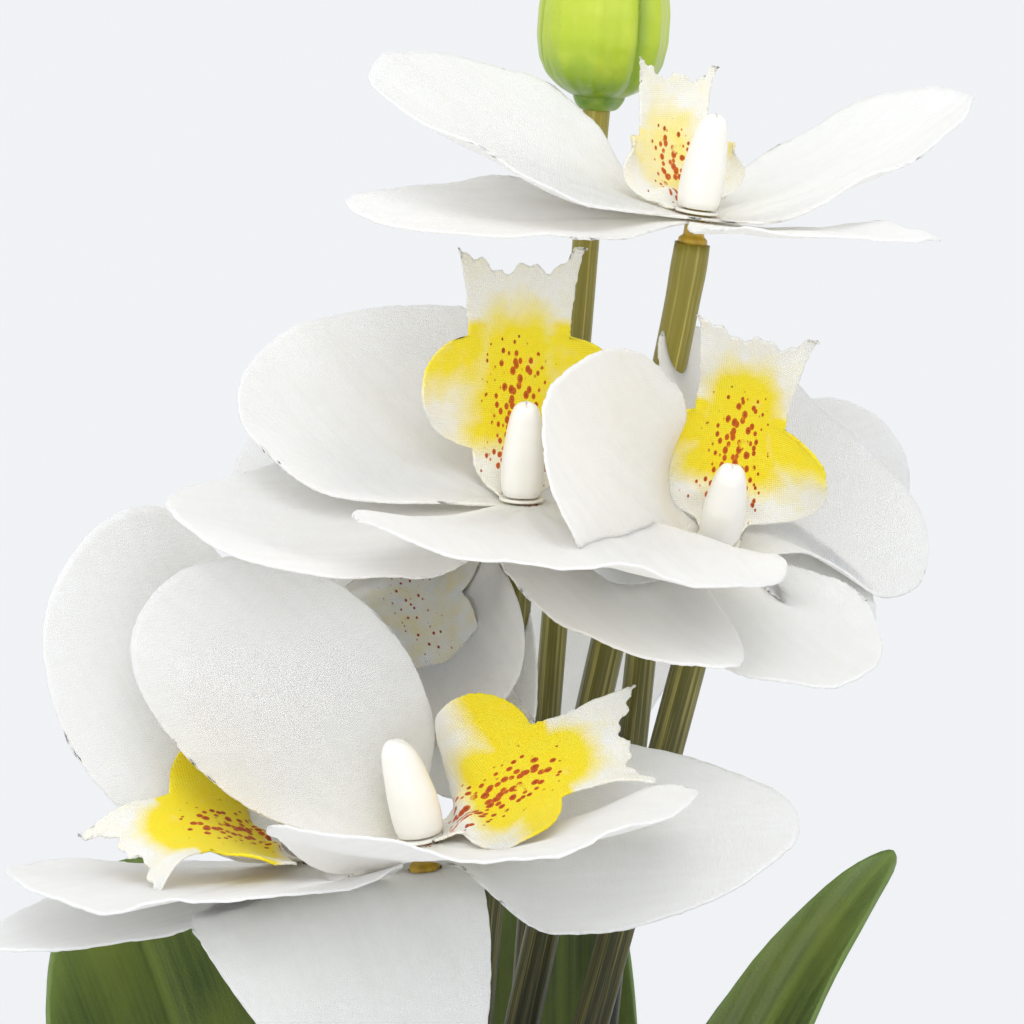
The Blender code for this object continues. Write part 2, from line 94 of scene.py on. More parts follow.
def rounded(corners, radius, steps=6):
    """A line through the corners with each inner corner swung round as a quadratic curve of that reach."""
    c = np.asarray(corners, float)
    line = [c[:1]]
    s = np.linspace(0, 1, steps + 1)[:, None]
    for before, corner, after in zip(c, c[1:], c[2:]):
        legs = [np.linalg.norm(before - corner), np.linalg.norm(after - corner)]
        a = corner + (before - corner) * min(radius / legs[0], 0.5)
        b = corner + (after - corner) * min(radius / legs[1], 0.5)
        line.append(a * (1 - s) ** 2 + corner * 2 * s * (1 - s) + b * s**2)
    return np.concatenate(line + [c[-1:]])


def even(line, count):
    """The same line with count points spaced evenly along its length."""
    along = np.concatenate([[0], np.cumsum(np.linalg.norm(np.diff(line, axis=0), axis=1))])
    keep = np.linspace(0, along[-1], count)
    return np.stack([np.interp(keep, along, line[:, k]) for k in range(line.shape[1])], -1)


class Finish:
    """A node material around one Principled shader, with short calls for the nodes a finish needs."""

    def __init__(self, name, colour, roughness, **settings):
        self.material = bpy.data.materials.new(name)
        self.material.use_nodes = True
        self.tree = self.material.node_tree
        self.shader = self.tree.nodes["Principled BSDF"]
        self.shader.inputs["Base Color"].default_value = (*colour, 1)
        self.shader.inputs["Roughness"].default_value = roughness
        for key, value in settings.items():
            self.shader.inputs[key.replace("_", " ")].default_value = value

    def node(self, kind, output=0, settings=None, **inputs):
        """A node of that kind with its properties set and its inputs linked or filled. Gives one output."""
        made = self.tree.nodes.new("ShaderNode" + kind)
        for key, value in (settings or {}).items():
            setattr(made, key, value)
        for key, value in inputs.items():
            socket = made.inputs[int(key[1:])] if key[0] == "i" and key[1:].isdigit() else made.inputs[key]
            if isinstance(value, bpy.types.NodeSocket):
                self.tree.links.new(value, socket)
            else:
                socket.default_value = value
        return made.outputs[output]

    def maths(self, operation, a, b=0.0, c=0.0):
        return self.node("Math", settings={"operation": operation}, i0=a, i1=b, i2=c)

    def place(self, stretch=(1, 1, 1)):
        """Object coordinates, stretched."""
        here = self.node("TexCoord", "Object")
        return self.node("Mapping", Vector=here, Scale=stretch)

    def flat(self, stretch=(1, 1, 1), turn=0.0):
        """The piece's own flat coordinates in millimetres, turned and stretched."""
        here = self.node("UVMap", settings={"uv_map": "flat"})
        return self.node("Mapping", Vector=here, Scale=stretch, Rotation=(0, 0, turn))

    def noise(self, where, scale, detail=3.0, rough=0.55):
        return self.node("TexNoise", "Fac", Vector=where, Scale=scale, Detail=detail, Roughness=rough)

    def value(self, name):
        return self.node("Attribute", "Fac", settings={"attribute_name": name})

    def ramp(self, factor, stops):
        """A colour ramp with (place, colour) stops."""
        made = self.node("ValToRGB", Fac=factor)
        ramp = made.node.color_ramp
        while len(ramp.elements) < len(stops):
            ramp.elements.new(0.5)
        for element, (place, colour) in zip(ramp.elements, stops):
            element.position = place
            element.color = (*colour, 1) if len(colour) == 3 else colour
        return made

    def blend(self, factor, a, b):
        """a where factor is 0, b where it is 1; colours are sockets or triples."""
        made = self.tree.nodes.new("ShaderNodeMix")
        made.data_type = "RGBA"
        for socket, value in ((made.inputs[0], factor), (made.inputs[6], a), (made.inputs[7], b)):
            if isinstance(value, bpy.types.NodeSocket):
                self.tree.links.new(value, socket)
            else:
                socket.default_value = value if isinstance(value, float) else (*value, 1)
        return made.outputs[2]

    def span(self, factor, low, high, to_low=0.0, to_high=1.0):
        """Maps low..high to to_low..to_high, held at both ends."""
        return self.node("MapRange", i0=factor, i1=low, i2=high, i3=to_low, i4=to_high)

    def bump(self, height, depth, strength=1.0):
        """A bump of that depth in metres, linked to the shader."""
        made = self.node("Bump", Height=height, Distance=depth, Strength=strength)
        self.tree.links.new(made, self.shader.inputs["Normal"])

    def link(self, socket, value):
        self.tree.links.new(value, self.shader.inputs[socket])


def finish_piece(obj, finish, nodes, thickness=None):
    """Gives a new piece its material, its wall if it is a sheet, its body and what it stands for."""
    obj.data.materials.append(finish.material)
    if thickness:
        wall = obj.modifiers.new("wall", "SOLIDIFY")
        wall.thickness = thickness
        wall.offset = 0.0
    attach(obj, "root")
    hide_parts(*nodes)


pot_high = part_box("pot")[1]
POT_RIM = pot_high.x
POT_TALL = pot_high.z
FOOT_SHARE = 43 / 58  # foot radius over rim radius
WALL = 0.0045
POT_FLOOR = 0.007
FOOT_RIDGE = 0.0016  # the ring the pot stands on

foot, rim = POT_RIM * FOOT_SHARE, POT_RIM
outside = rounded([(0, FOOT_RIDGE), (foot - 0.007, FOOT_RIDGE), (foot - 0.0055, 0), (foot - 0.001, 0),
                   (rim, POT_TALL), (rim - WALL, POT_TALL), (foot - WALL, POT_FLOOR), (0, POT_FLOOR)], 0.0021)
wheel = turned_grid(even(outside, 190), 160)
glaze_pool = 1 + 0.0016 * np.sin(3 * np.arctan2(wheel[..., 1], wheel[..., 0]) + wheel[..., 2] * 60)
wheel[..., :2] *= np.where(wheel[..., 2] > 0.004, glaze_pool, 1)[..., None] * 0.9985
glaze = Finish("white_glaze", (0.86, 0.855, 0.83), 0.16, Coat_Weight=0.5, Coat_Roughness=0.06)
cloud = glaze.noise(glaze.place(), 26.0)
speck = glaze.noise(glaze.place(), 900.0, 1.0)
body = glaze.blend(glaze.span(cloud, 0.35, 0.7), (0.87, 0.865, 0.845), (0.80, 0.795, 0.77))
glaze.link("Base Color", glaze.blend(glaze.span(speck, 0.72, 0.78), body, (0.62, 0.58, 0.50)))
glaze.link("Roughness", glaze.span(glaze.noise(glaze.place(), 60.0), 0.3, 0.7, 0.10, 0.24))
glaze.bump(glaze.noise(glaze.place((1, 1, 0.4)), 85.0, 2.0), 0.00025, 0.5)
pot = put_mesh("glazed_pot", wheel.reshape(-1, 3), grid_faces(*wheel.shape[:2]))
finish_piece(pot, glaze, ["pot"])


# ---- the filler and the soil ----------------------------------------------------------------------
# A block of stiff green foam is pressed into the pot to grip the stems, and a crust of glued bark and
# soil grains hides it. The foam keeps the part's own shape and gets its fine open cells as a finish.
foam = Finish("florist_foam", (0.19, 0.25, 0.15), 0.95)
cells = foam.node("TexVoronoi", "Distance", Vector=foam.place(), Scale=900.0)
dust = foam.noise(foam.place(), 60.0)
foam.link("Base Color", foam.blend(foam.span(dust, 0.3, 0.7), (0.16, 0.22, 0.12), (0.26, 0.31, 0.19)))
foam.link("Roughness", foam.span(dust, 0.3, 0.7, 0.88, 1.0))
foam.bump(cells, 0.0004)
foam_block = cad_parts["foam_block"]
foam_block.data.materials.clear()
foam_block.data.materials.append(foam.material)

soil_low, soil_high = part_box("soil")


def grains(x, y, size, amount, turn):
    """Heights of rounded grains: a jittered square net of that pitch, each grain a dome of its own height.
    Every point takes the highest dome among the nine nearest net cells."""
    c, s = math.cos(turn), math.sin(turn)
    u, v = (x * c - y * s) / size, (x * s + y * c) / size
    best = np.zeros_like(u)
    for du in (-1, 0, 1):
        for dv in (-1, 0, 1):
            cu, cv = np.floor(u) + du, np.floor(v) + dv
            seed = np.sin(cu * 127.1 + cv * 311.7 + turn * 17) * 43758.5
            jitter = seed - np.floor(seed)
            other = np.sin(cu * 269.5 + cv * 183.3 + turn * 5) * 24634.6
            other = other - np.floor(other)
            far = np.hypot(u - cu - 0.25 - 0.5 * jitter, v - cv - 0.25 - 0.5 * other)
            dome = np.sqrt(np.clip(1 - (far / (0.55 + 0.25 * other)) ** 2, 0, 1)) * (0.4 + 0.6 * jitter)
            best = np.maximum(best, dome)
    return best * amount


SOIL_RINGS, SOIL_AROUND = 150, 360
reach = soil_high.x * 0.998
ring = np.linspace(0, 1, SOIL_RINGS)[:, None]
around = np.linspace(0, 2 * np.pi, SOIL_AROUND + 1)[None, :]
sx, sy = reach * ring * np.cos(around), reach * ring * np.sin(around)
crown = soil_high.z - 0.0045 * ring**2.2 - 0.0012
lumps = grains(sx, sy, 0.0052, 0.0024, 0.3) + grains(sx, sy, 0.0021, 0.0010, 1.1) - 0.0012
top = np.stack([sx, sy, crown + lumps * np.clip((1 - ring) * 30, 0, 1)], -1)
skirt = np.array([[reach, soil_high.z - 0.0068], [reach * 0.985, soil_low.z + 0.0004], [0, soil_low.z + 0.0004]])
crust = np.concatenate([top, turned_grid(skirt, SOIL_AROUND)])
soil = Finish("bark_and_soil", (0.07, 0.04, 0.022), 0.92)
chip = soil.node("TexVoronoi", "Color", Vector=soil.place(), Scale=210.0)
tone = soil.node("SeparateColor", "Red", Color=chip)
bark = soil.ramp(tone, [(0.0, (0.035, 0.021, 0.012)), (0.45, (0.09, 0.052, 0.028)), (0.8, (0.17, 0.105, 0.06)),
                        (1.0, (0.26, 0.19, 0.12))])
dirt = soil.span(soil.noise(soil.place(), 500.0), 0.35, 0.65, 0.55, 1.0)
soil.link("Base Color", soil.blend(dirt, (0.022, 0.013, 0.008), bark))
soil.link("Roughness", soil.span(soil.noise(soil.place(), 240.0), 0.3, 0.7, 0.8, 1.0))
soil.bump(soil.noise(soil.place(), 1400.0, 4.0), 0.0005)
crust_piece = put_mesh("soil_crust", crust.reshape(-1, 3), grid_faces(*crust.shape[:2]))
finish_piece(crust_piece, soil, ["soil"])


# ---- the stems ------------------------------------------------------------------------------------
# Eight stems, each moulded in olive plastic over a wire. Mould flow leaves streaks along them, and the lighter
# streaks are partly painted highlights. They rise straight from the foam and bow once into the flower's axis;
# towards the pot their colour darkens to nearly black, painted shade under the flowers and leaves.
# Each flower's table gives its stem's root, its hub, how far it leans right and front, and its cuts of cloth.
# A lobe is (azimuth, rises along it, cup, twist, length, half width, sweep, ruffle); a lip is (azimuth,
# rises, cup, twist, size, strength of dye, place of its wings along it).
SOIL_MIDDLE = soil_high.z / MM
STEM_IN_SOIL = 48.0
STEM_SIDES = 40
SOCKET_DEEP = 2.5
FLOWERS = {
    "flower_1": {
        "root": (-13, 6), "hub": (28.9, 4, 220.4), "lean": (8, 0), "stem": 3.0,
        "petals": [(172, (3, 20, 31), 22, -9, 58, 27, 0, 0.9), (25, (16, 30, 54), 18, -6, 52, 25, 0, 0.8)],
        "sepals": [(197, (-7, -5, -1), 12, -8, 58, 18, 0, 0.5), (312, (2, 9, 8), 12, 4, 50, 17, 0, 0.5),
                   (104, (-6, -12), 0, 0, 44, 13, 0, 0.4)],
        "lip": (112, (10, 62, 94), 84, -8, 0.74, 0.55, 0.34),
    },
    "flower_2": {
        "root": (-13, -8), "hub": (1.3, -12, 176.5), "lean": (2, 2), "stem": 2.6,
        "petals": [(143, (18, 33, 46), 16, -14, 50, 30, 0, 0.8), (284, (-6, -2, 12), 6, -7, 52, 34, 0, 1.1)],
        "sepals": [(201, (-11, 1, 16), 12, -14, 59, 22, 0, 0.6), (308, (-34, -18, -3), 8, 0, 54, 16, 0, 0.6),
                   (80, (-4, 4), 10, 0, 30, 13, 0, 0.4)],
        "lip": (98, (56, 84, 94), 58, 0, 1.05, 1.0, 0.46),
    },
    "flower_3": {
        "root": (-6, -4), "hub": (32, -11, 170.8), "lean": (8, 28), "stem": 3.0,
        "petals": [(187, (36, 52, 66), 26, -34, 45, 18.5, 0, 0.6), (64, (-8, 6, 20), 20, 32, 40, 30, 0, 0.7)],
        "sepals": [(298, (-22, 8, 30), 10, 0, 40, 17, 0, 0.5), (90, (-58, -62), 10, 0, 36, 9, 0, 0.2),
                   (4, (-28, -22), 10, 0, 30, 12, 0, 0.2)],
        "lip": (82, (30, 78, 102), 48, -6, 0.96, 1.1, 0.30),
    },
    "flower_4": {
        "root": (-16, -20), "hub": (-13.3, -45, 129.9), "lean": (-8, 4), "stem": 2.8,
        "petals": [(141, (60, 56, 46), 16, -48, 57, 18.5, 11, 0.9), (293, (9, 13, 18), 28, -9, 50, 34, 0, 1.0)],
        "sepals": [(40, (-24, -20), 0, 0, 28, 8, 0, 0.2), (354, (-8, -3, 3), 8, 22, 58, 22, 0, 0.6),
                   (126, (-50, -70, -88), 5, 0, 54, 14, 0, 0.4)],
        "lip": (4, (34, 20, 2), 62, 44, 0.90, 1.3, 0.36),
    },
    "flower_5": {
        "root": (-23, -4), "hub": (-31.5, -26, 122.5), "lean": (-8, 4), "stem": 2.8,
        "petals": [(145, (60, 68, 76), -20, 0, 65, 26, 0, 0.6), (242, (10, 13, 16), 14, 0, 52, 33, 0, 0.9)],
        "sepals": [(207, (-2, 1, 5), 10, 0, 54, 19, 0, 0.5), (280, (10, 2, -60, -112), 5, 0, 70, 22, 6, 0.8),
                   (90, (-50, -60), 10, 0, 30, 10, 0, 0.2)],
        "lip": (216, (56, 22, -22), 52, -32, 0.88, 1.9, 0.40),
    },
    "flower_6": {
        "root": (-15, 15), "hub": (-20, 10, 170), "lean": (4, 76), "stem": 2.8,
        "petals": [(296, (42, 44, 42), 60, 0, 43, 17, 0, 0.3), (135, (-20, -26), 20, 0, 32, 14, 0, 0.2)],
        "sepals": [(291, (30, 34, 30), 46, 0, 51, 19, 0, 0.3), (20, (-40, -50), 10, 0, 30, 12, 0, 0.2),
                   (200, (-44, -54), 10, 0, 28, 10, 0, 0.2)],
        "lip": (293, (44, 38, 18), 62, 0, 1.02, 0.2, 0.10),
    },
    "flower_7": {
        "root": (9, 24), "hub": (24, 46, 162), "lean": (8, -50), "stem": 2.8,
        "petals": [(355, (14, 24), 15, 0, 46, 24, 0, 0.5), (170, (14, 24), 15, 0, 46, 24, 0, 0.5)],
        "sepals": [(116, (-40, -44), 40, 0, 58, 17, 0, 0.4), (20, (-10, -10), 0, 0, 42, 15, 0, 0.4),
                   (300, (4, 8), 10, 0, 40, 14, 0, 0.4)],
        "lip": (80, (55, 85), 70, 0, 0.84, 0.8, 0.3),
    },
}
BUD = {"root": (-3, 10), "hub": (14.7, 42, 245.2), "lean": (4, 0), "stem": 2.4}


def facing(lean):
    """The way a flower looks: straight up, tipped right and front by the two leans."""
    right, front = (math.tan(math.radians(a)) for a in lean)
    return Vector((right, -front, 1.0)).normalized()


def hub_matrix(spec, lift=0.0):
    """A flower's own frame in millimetres: +Z the way it faces, +X as near to the row's +X as that leaves."""
    up = facing(spec["lean"])
    far = up.cross(Vector((1, 0, 0))).normalized()
    turn = Matrix((far.cross(up), far, up)).transposed().to_4x4()
    x, y, z = spec["hub"]
    return Matrix.Translation((x, y, SOIL_MIDDLE + z)) @ turn @ Matrix.Translation((0, 0, lift))


def placed(points, matrix):
    """Points in a flower's own frame, in millimetres, moved to the row frame in metres."""
    m = np.array(matrix)
    return (np.asarray(points) @ m[:3, :3].T + m[:3, 3]) * MM


def stem_line(spec, steps=90):
    """The stem's middle line in millimetres: a straight foot, then a cubic Bezier with upright first handle
    and second handle along the flower's axis, each 16% of the reach."""
    x, y = spec["root"]
    start, end = np.array([x, y, SOIL_MIDDLE + 2]), np.array(hub_matrix(spec).translation)
    reach = np.linalg.norm(end - start) * 0.16
    a, b = start + (0, 0, reach), end - np.array(facing(spec["lean"])) * reach
    s = np.linspace(0, 1, steps + 1)[:, None]
    bow = start * (1 - s) ** 3 + a * 3 * s * (1 - s) ** 2 + b * 3 * s**2 * (1 - s) + end * s**3
    return np.concatenate([[(x, y, SOIL_MIDDLE - STEM_IN_SOIL)], bow])


def carried(line, radius, sides, wobble=None):
    """A tube along a line: at each point a ring of sides + 1 points in the plane across the line. The ring's
    first axis is X turned into that plane. Gives the points and (angle, way along) pairs."""
    ahead = np.gradient(line, axis=0)
    ahead /= np.linalg.norm(ahead, axis=1, keepdims=True)
    across = np.array([1.0, 0, 0]) - ahead * ahead[:, :1]
    across /= np.linalg.norm(across, axis=1, keepdims=True)
    third = np.cross(ahead, across)
    a = np.linspace(0, 2 * np.pi, sides + 1)
    r = np.broadcast_to(np.asarray(radius, float).reshape(-1, 1), (len(line), sides + 1)).copy()
    if wobble is not None:
        r *= 1 + wobble(a[None, :], np.arange(len(line))[:, None] / len(line))
    points = (line[:, None] + r[..., None] * (np.cos(a)[:, None] * across[:, None]
                                              + np.sin(a)[:, None] * third[:, None]))
    way = np.concatenate([[0], np.cumsum(np.linalg.norm(np.diff(line, axis=0), axis=1))])
    flat = np.stack(np.broadcast_arrays(a[None, :] / (2 * np.pi), way[:, None]), -1)
    return points, flat


stem = Finish("olive_stem", (0.22, 0.21, 0.05), 0.38, Subsurface_Weight=0.06, Subsurface_Scale=0.002,
              Specular_IOR_Level=0.35, Coat_Weight=0.06, Coat_Roughness=0.3)
height = stem.node("SeparateXYZ", "Z", Vector=stem.node("TexCoord", "Object"))
drift = stem.noise(stem.place((1, 1, 0.25)), 60.0)
depth = stem.maths("ADD", height, stem.span(drift, 0.3, 0.7, -0.018, 0.018))
# Colour by height: nearly black by the soil, as painted shade under the flowers and leaves, rising to the stem's
# own olive up by the flowers.
dye = stem.ramp(stem.span(depth, 0.10, 0.36), [
    (0.0, (0.006, 0.008, 0.002)), (0.36, (0.014, 0.016, 0.004)), (0.52, (0.075, 0.072, 0.014)),
    (0.68, (0.19, 0.172, 0.026)), (0.86, (0.29, 0.245, 0.032)), (1.0, (0.42, 0.34, 0.045))])
streak = stem.noise(stem.flat((22, 0.012, 1)), 1.0, 4.0, 0.7)
pale = stem.noise(stem.flat((9, 0.02, 1)), 1.0, 2.0)
# Light streaks: partly mould-flow streaks, partly painted highlights, shown only above the painted shade low down.
streaks_and_painted_highlights = stem.blend(stem.span(streak, 0.50, 0.66, 0.0, 0.85), dye, (0.56, 0.49, 0.15))
above_painted_shade = stem.span(depth, 0.17, 0.25)
streaked = stem.blend(above_painted_shade, dye, streaks_and_painted_highlights)
stem.link("Base Color", stem.blend(stem.span(pale, 0.3, 0.7, 0.0, 0.45), streaked, dye))
stem.link("Roughness", stem.span(streak, 0.3, 0.7, 0.30, 0.5))
stem.bump(streak, 0.00022)


def make_stem(name, spec, phase):
    """One stem: a little stouter at the foot, with three shallow flutes, ending in a rounded socket mouth."""
    line = even(stem_line(spec), 150)
    way = np.linspace(0, 1, len(line))
    r = spec["stem"] * (0.99 - 0.05 * way + 0.05 * np.exp(-(((way - 0.985) / 0.012) ** 2)))
    points, flat = carried(line, r, STEM_SIDES,
                           lambda a, w: 0.012 * np.sin(3 * a + phase + 2 * w) + 0.006 * np.sin(7 * a))
    foot_middle = np.repeat(points[:1].mean(1, keepdims=True), STEM_SIDES + 1, 1)
    turn = np.linspace(0, 2 * np.pi, STEM_SIDES + 1)
    mouth = []
    for share, lift in ((0.93, 0.12), (0.66, 0.10), (0.66, -SOCKET_DEEP), (0.0, -SOCKET_DEEP)):
        radius = share * spec["stem"]
        circle = np.stack([np.cos(turn) * radius, np.sin(turn) * radius, np.full_like(turn, lift - 0.15)], -1)
        mouth.append(placed(circle, hub_matrix(spec)) / MM)
    tube = np.concatenate([foot_middle, points, np.stack(mouth)]).reshape(-1, 3) * MM
    way_at = np.concatenate([flat[:1], flat, np.repeat(flat[-1:], len(mouth), 0)])
    made = put_mesh(name + "_moulded", tube, grid_faces(len(way_at), STEM_SIDES + 1), way_at.reshape(-1, 2))
    finish_piece(made, stem, [name])


for order, (name, spec) in enumerate([*FLOWERS.items(), ("bud", BUD)]):
    make_stem(name + "_stem", spec, order * 1.3)


# ---- the fabric flowers ---------------------------------------------------------------------------
# Each flower is two cuts of stiffened white cloth: three sepals around one pierced middle, and over them
# two broad petals. They are cut hot, so the edge is finely ragged, and pressed so that veins fan out.
FABRIC = 0.42
HOLE, HUB = 2.0, 4.4
SEPAL_LEVEL, PETAL_LEVEL, LIP_LEVEL, COLUMN_LEVEL = 3.65, 4.45, 5.25, 5.8
PETAL_OUTLINE = {"claw": 5.0, "side": 0.52, "fan": 1.7, "shoulder": 0.85, "point": 0.9}
SEPAL_OUTLINE = {"claw": 4.2, "side": 0.40, "fan": 1.5, "shoulder": 0.75, "point": 1.5}
LOBE_ROWS, LOBE_COLUMNS, MIDDLE_ROWS = 56, 96, 6


def lobe_flat(outline, length, half_width, t, phi):
    """(along, across) of a flat lobe. Rows t run from hub to tip, columns phi from side to side; the rows
    bow forward into the rounded tip, and the half width grows as a power of a quarter sine."""
    grown = np.sin(np.pi / 2 * t) ** outline["shoulder"]
    half = outline["claw"] + (half_width - outline["claw"]) * grown
    tip = (1 - outline["side"]) * t ** outline["fan"] * np.cos(phi) ** outline["point"]
    return length * (outline["side"] * t + tip), half * np.sin(phi)


def smooth_step(x):
    """0 below 0, 1 above 1, and x * x * (3 - 2 * x) between."""
    x = np.clip(x, 0, 1)
    return x * x * (3 - 2 * x)


def formed(along, across, lift, rises, cup, twist, length, half_width, sweep):
    """Bends a flat lobe. Its length follows a curve whose slope passes evenly through the rises, summed up
    in small steps; its width is an arc that turns each edge up by cup; it rolls by twist, swings sideways
    by sweep, and stands off its own surface by lift. Gives (out, side, up)."""
    s = np.linspace(-0.2, 1.1, 300)
    slope = np.radians(np.interp(s, np.linspace(0, 1, len(rises)), rises))
    soft = np.ones(31) / 31
    slope = np.convolve(np.pad(slope, 15, mode="edge"), soft, mode="valid")
    slope *= smooth_step(s * length / 3.0 + 0.35)
    step = (s[1] - s[0]) * length
    run, climb = np.cumsum(np.cos(slope)) * step, np.cumsum(np.sin(slope)) * step
    run, climb = run - np.interp(0, s, run), climb - np.interp(0, s, climb)
    share = along / length
    angle = np.interp(share, s, slope)
    out, up = np.interp(share, s, run), np.interp(share, s, climb)
    ease = smooth_step(share / 0.35)
    bow = np.radians(cup) / half_width * ease
    bow = np.where(np.abs(bow) < 1e-6, 1e-6, bow)
    side, rise = np.sin(across * bow) / bow, (1 - np.cos(across * bow)) / bow + lift
    roll = np.radians(twist) * ease
    side, rise = side * np.cos(roll) - rise * np.sin(roll), side * np.sin(roll) + rise * np.cos(roll)
    return out - rise * np.sin(angle), side + sweep * share**2, up + rise * np.cos(angle)


def turned(out, side, up, azimuth):
    """(out, side, up) of a lobe that points along +X, swung about Z to its azimuth."""
    a = math.radians(azimuth)
    return np.stack([out * math.cos(a) - side * math.sin(a), out * math.sin(a) + side * math.cos(a), up], -1)


def pressed(along, across, length, half_width, ruffle, seed):
    """How far a lobe stands off its smooth form: pleats that fan out of the claw and die away, a pressed
    middle vein, slow waves over the cloth, and a ruffle that grows towards the edge."""
    draw = np.random.default_rng(seed)
    share, wide = along / length, across / half_width
    fan = np.arctan2(across, along + 5.0)
    veins = 0.10 * np.cos(fan * 19 + draw.uniform(0, 6)) * np.exp(-((share - 0.32) / 0.34) ** 2)
    pleat = 0.42 * np.cos(fan * 5 + draw.uniform(-1, 1)) * np.exp(-((share - 0.2) / 0.18) ** 2)
    middle = -0.38 * np.exp(-((across / 1.4) ** 2)) * smooth_step(share * 4) * (1 - share)
    slow = np.zeros_like(share)
    for scale in (0.9, 1.7, 2.9):
        a, b, c = draw.uniform(0.5, 1.0, 3) * scale
        slow += np.sin(a * share * 5 + b * wide * 3 + c * 9) / scale * 0.32
    rim = np.maximum(np.abs(wide) * 0.95, share) ** 4
    angle = np.arctan2(across, along - length * 0.35)
    waves = np.sin(angle * 5 + draw.uniform(0, 6)) + 0.5 * np.sin(angle * 11 + draw.uniform(0, 6))
    small = 0.10 * np.sin(angle * 37 + draw.uniform(0, 6)) * rim**2
    grow = smooth_step(share / 0.25)
    return veins + (pleat + middle) * smooth_step(share * 6) + (slow * 0.8 + ruffle * waves * rim) * grow + small


def ragged(points, amount, seed):
    """Moves the two side columns and the last row by small random steps, as a hot knife leaves them."""
    draw = np.random.default_rng(seed)
    for edge in (points[:, 0], points[:, -1], points[-1]):
        edge += draw.normal(0, amount, edge.shape)
    return points


def fabric_cut(name, lobes, outline, level, seed, matrix):
    """One cut of cloth: for each lobe a grid that starts on the hole's rim, crosses the middle in its own
    sector, half-way to its neighbours, and runs on into the lobe. Neighbours share the sector's edges."""
    ordered = sorted(lobes, key=lambda lobe: lobe[0] % 360)
    points, faces, flat, tint, throat = [], [], [], [], []
    start = 0
    for i, lobe in enumerate(ordered):
        azimuth, rises, cup, twist, length, half_width, sweep, ruffle = lobe
        azimuth %= 360
        before = ordered[i - 1][0] % 360 - (360 if i == 0 else 0)
        after = ordered[(i + 1) % len(ordered)][0] % 360 + (360 if i == len(ordered) - 1 else 0)
        sector = np.radians(np.linspace((before + azimuth) / 2, (azimuth + after) / 2, LOBE_COLUMNS + 1))
        radius = np.linspace(HOLE, HUB, MIDDLE_ROWS)[:, None]
        middle = np.stack([radius * np.cos(sector), radius * np.sin(sector),
                           np.full((MIDDLE_ROWS, LOBE_COLUMNS + 1), level)], -1)
        length -= HUB
        phi = np.linspace(-np.pi / 2, np.pi / 2, LOBE_COLUMNS + 1)[None, :]
        t = (np.arange(LOBE_ROWS) + 1)[:, None] / LOBE_ROWS
        along, across = lobe_flat(outline, length, half_width, t, phi)
        off = pressed(along, across, length, half_width, ruffle, seed + i)
        blade = turned(*formed(along, across, off, rises, cup, twist, length, half_width, sweep), azimuth)
        blade += turned(HUB, 0, level, azimuth)
        # the sector's arc flows into the lobe's first rows
        fade = smooth_step(1 - along / 3.2)[..., None]
        arc_side = np.sin(sector - math.radians(azimuth)) * HUB
        arc_out = (np.cos(sector - math.radians(azimuth)) - 1) * HUB
        shift = turned(arc_out, arc_side - across[:1].ravel(), 0 * arc_side, azimuth)
        blade += shift[None] * fade
        blade = ragged(blade, 0.045, seed + 50 + i)
        rows = np.concatenate([middle, blade])
        points.append(rows.reshape(-1, 3))
        faces.append(grid_faces(*rows.shape[:2], start))
        start += rows.shape[0] * rows.shape[1]
        where = np.concatenate([np.stack([radius * np.ones_like(phi) - HUB, across[:1] * radius / HUB], -1),
                                np.stack([along, across], -1)])
        flat.append(where.reshape(-1, 2) + (0, 90 * i))
        tint.append(np.concatenate([np.ones((MIDDLE_ROWS, LOBE_COLUMNS + 1)),
                                    np.exp(-along / (0.20 * length)) * np.exp(-((across / 11) ** 2))]).ravel())
        past_throat = np.maximum(np.hypot(where[..., 0] + HUB, where[..., 1]) - 3.4, 0)
        throat.append(np.exp(-((past_throat / 1.2) ** 4)).ravel())
    return put_mesh(name, placed(np.concatenate(points), matrix), np.concatenate(faces), np.concatenate(flat),
                    {"centre": np.concatenate(tint), "throat": np.concatenate(throat)}, merge=2e-6)


def woven(finish, pitch=0.42):
    """The height of a plain weave: two sets of threads at right angles, each going over and under."""
    across = finish.node("SeparateXYZ", "X", Vector=finish.flat((1 / pitch,) * 3, 0.7))
    along = finish.node("SeparateXYZ", "Y", Vector=finish.flat((1 / pitch,) * 3, 0.7))
    warp = finish.maths("SINE", finish.maths("MULTIPLY", across, 2 * math.pi))
    weft = finish.maths("SINE", finish.maths("MULTIPLY", along, 2 * math.pi))
    thread = finish.maths("MULTIPLY", warp, weft)
    soft = finish.noise(finish.flat((0.4, 0.4, 1)), 1.0, 3.0)
    return finish.maths("MULTIPLY_ADD", thread, 0.25, soft)


cloth = Finish("white_petal_cloth", (0.88, 0.87, 0.84), 0.72, Subsurface_Weight=0.75, Subsurface_Scale=0.005,
               Subsurface_Radius=(1.0, 0.95, 0.85), Sheen_Weight=0.12, Sheen_Roughness=0.5,
               Specular_IOR_Level=0.25)
wave = cloth.noise(cloth.flat((0.07, 0.16, 1)), 1.0, 3.0)
vein = cloth.noise(cloth.flat((0.02, 0.45, 1)), 1.0, 2.0, 0.6)
base = cloth.blend(cloth.span(wave, 0.35, 0.7), (0.90, 0.893, 0.872), (0.865, 0.855, 0.822))
base = cloth.blend(cloth.span(vein, 0.46, 0.72, 0.0, 0.5), base, (0.835, 0.82, 0.765))
cream = cloth.span(cloth.value("centre"), 0.03, 0.85, 0.0, 0.62)
base = cloth.blend(cream, base, (0.90, 0.85, 0.66))
fleck = cloth.node("TexVoronoi", "Distance", Vector=cloth.flat((1.3, 1.3, 1)), Scale=1.0, Randomness=1.0)
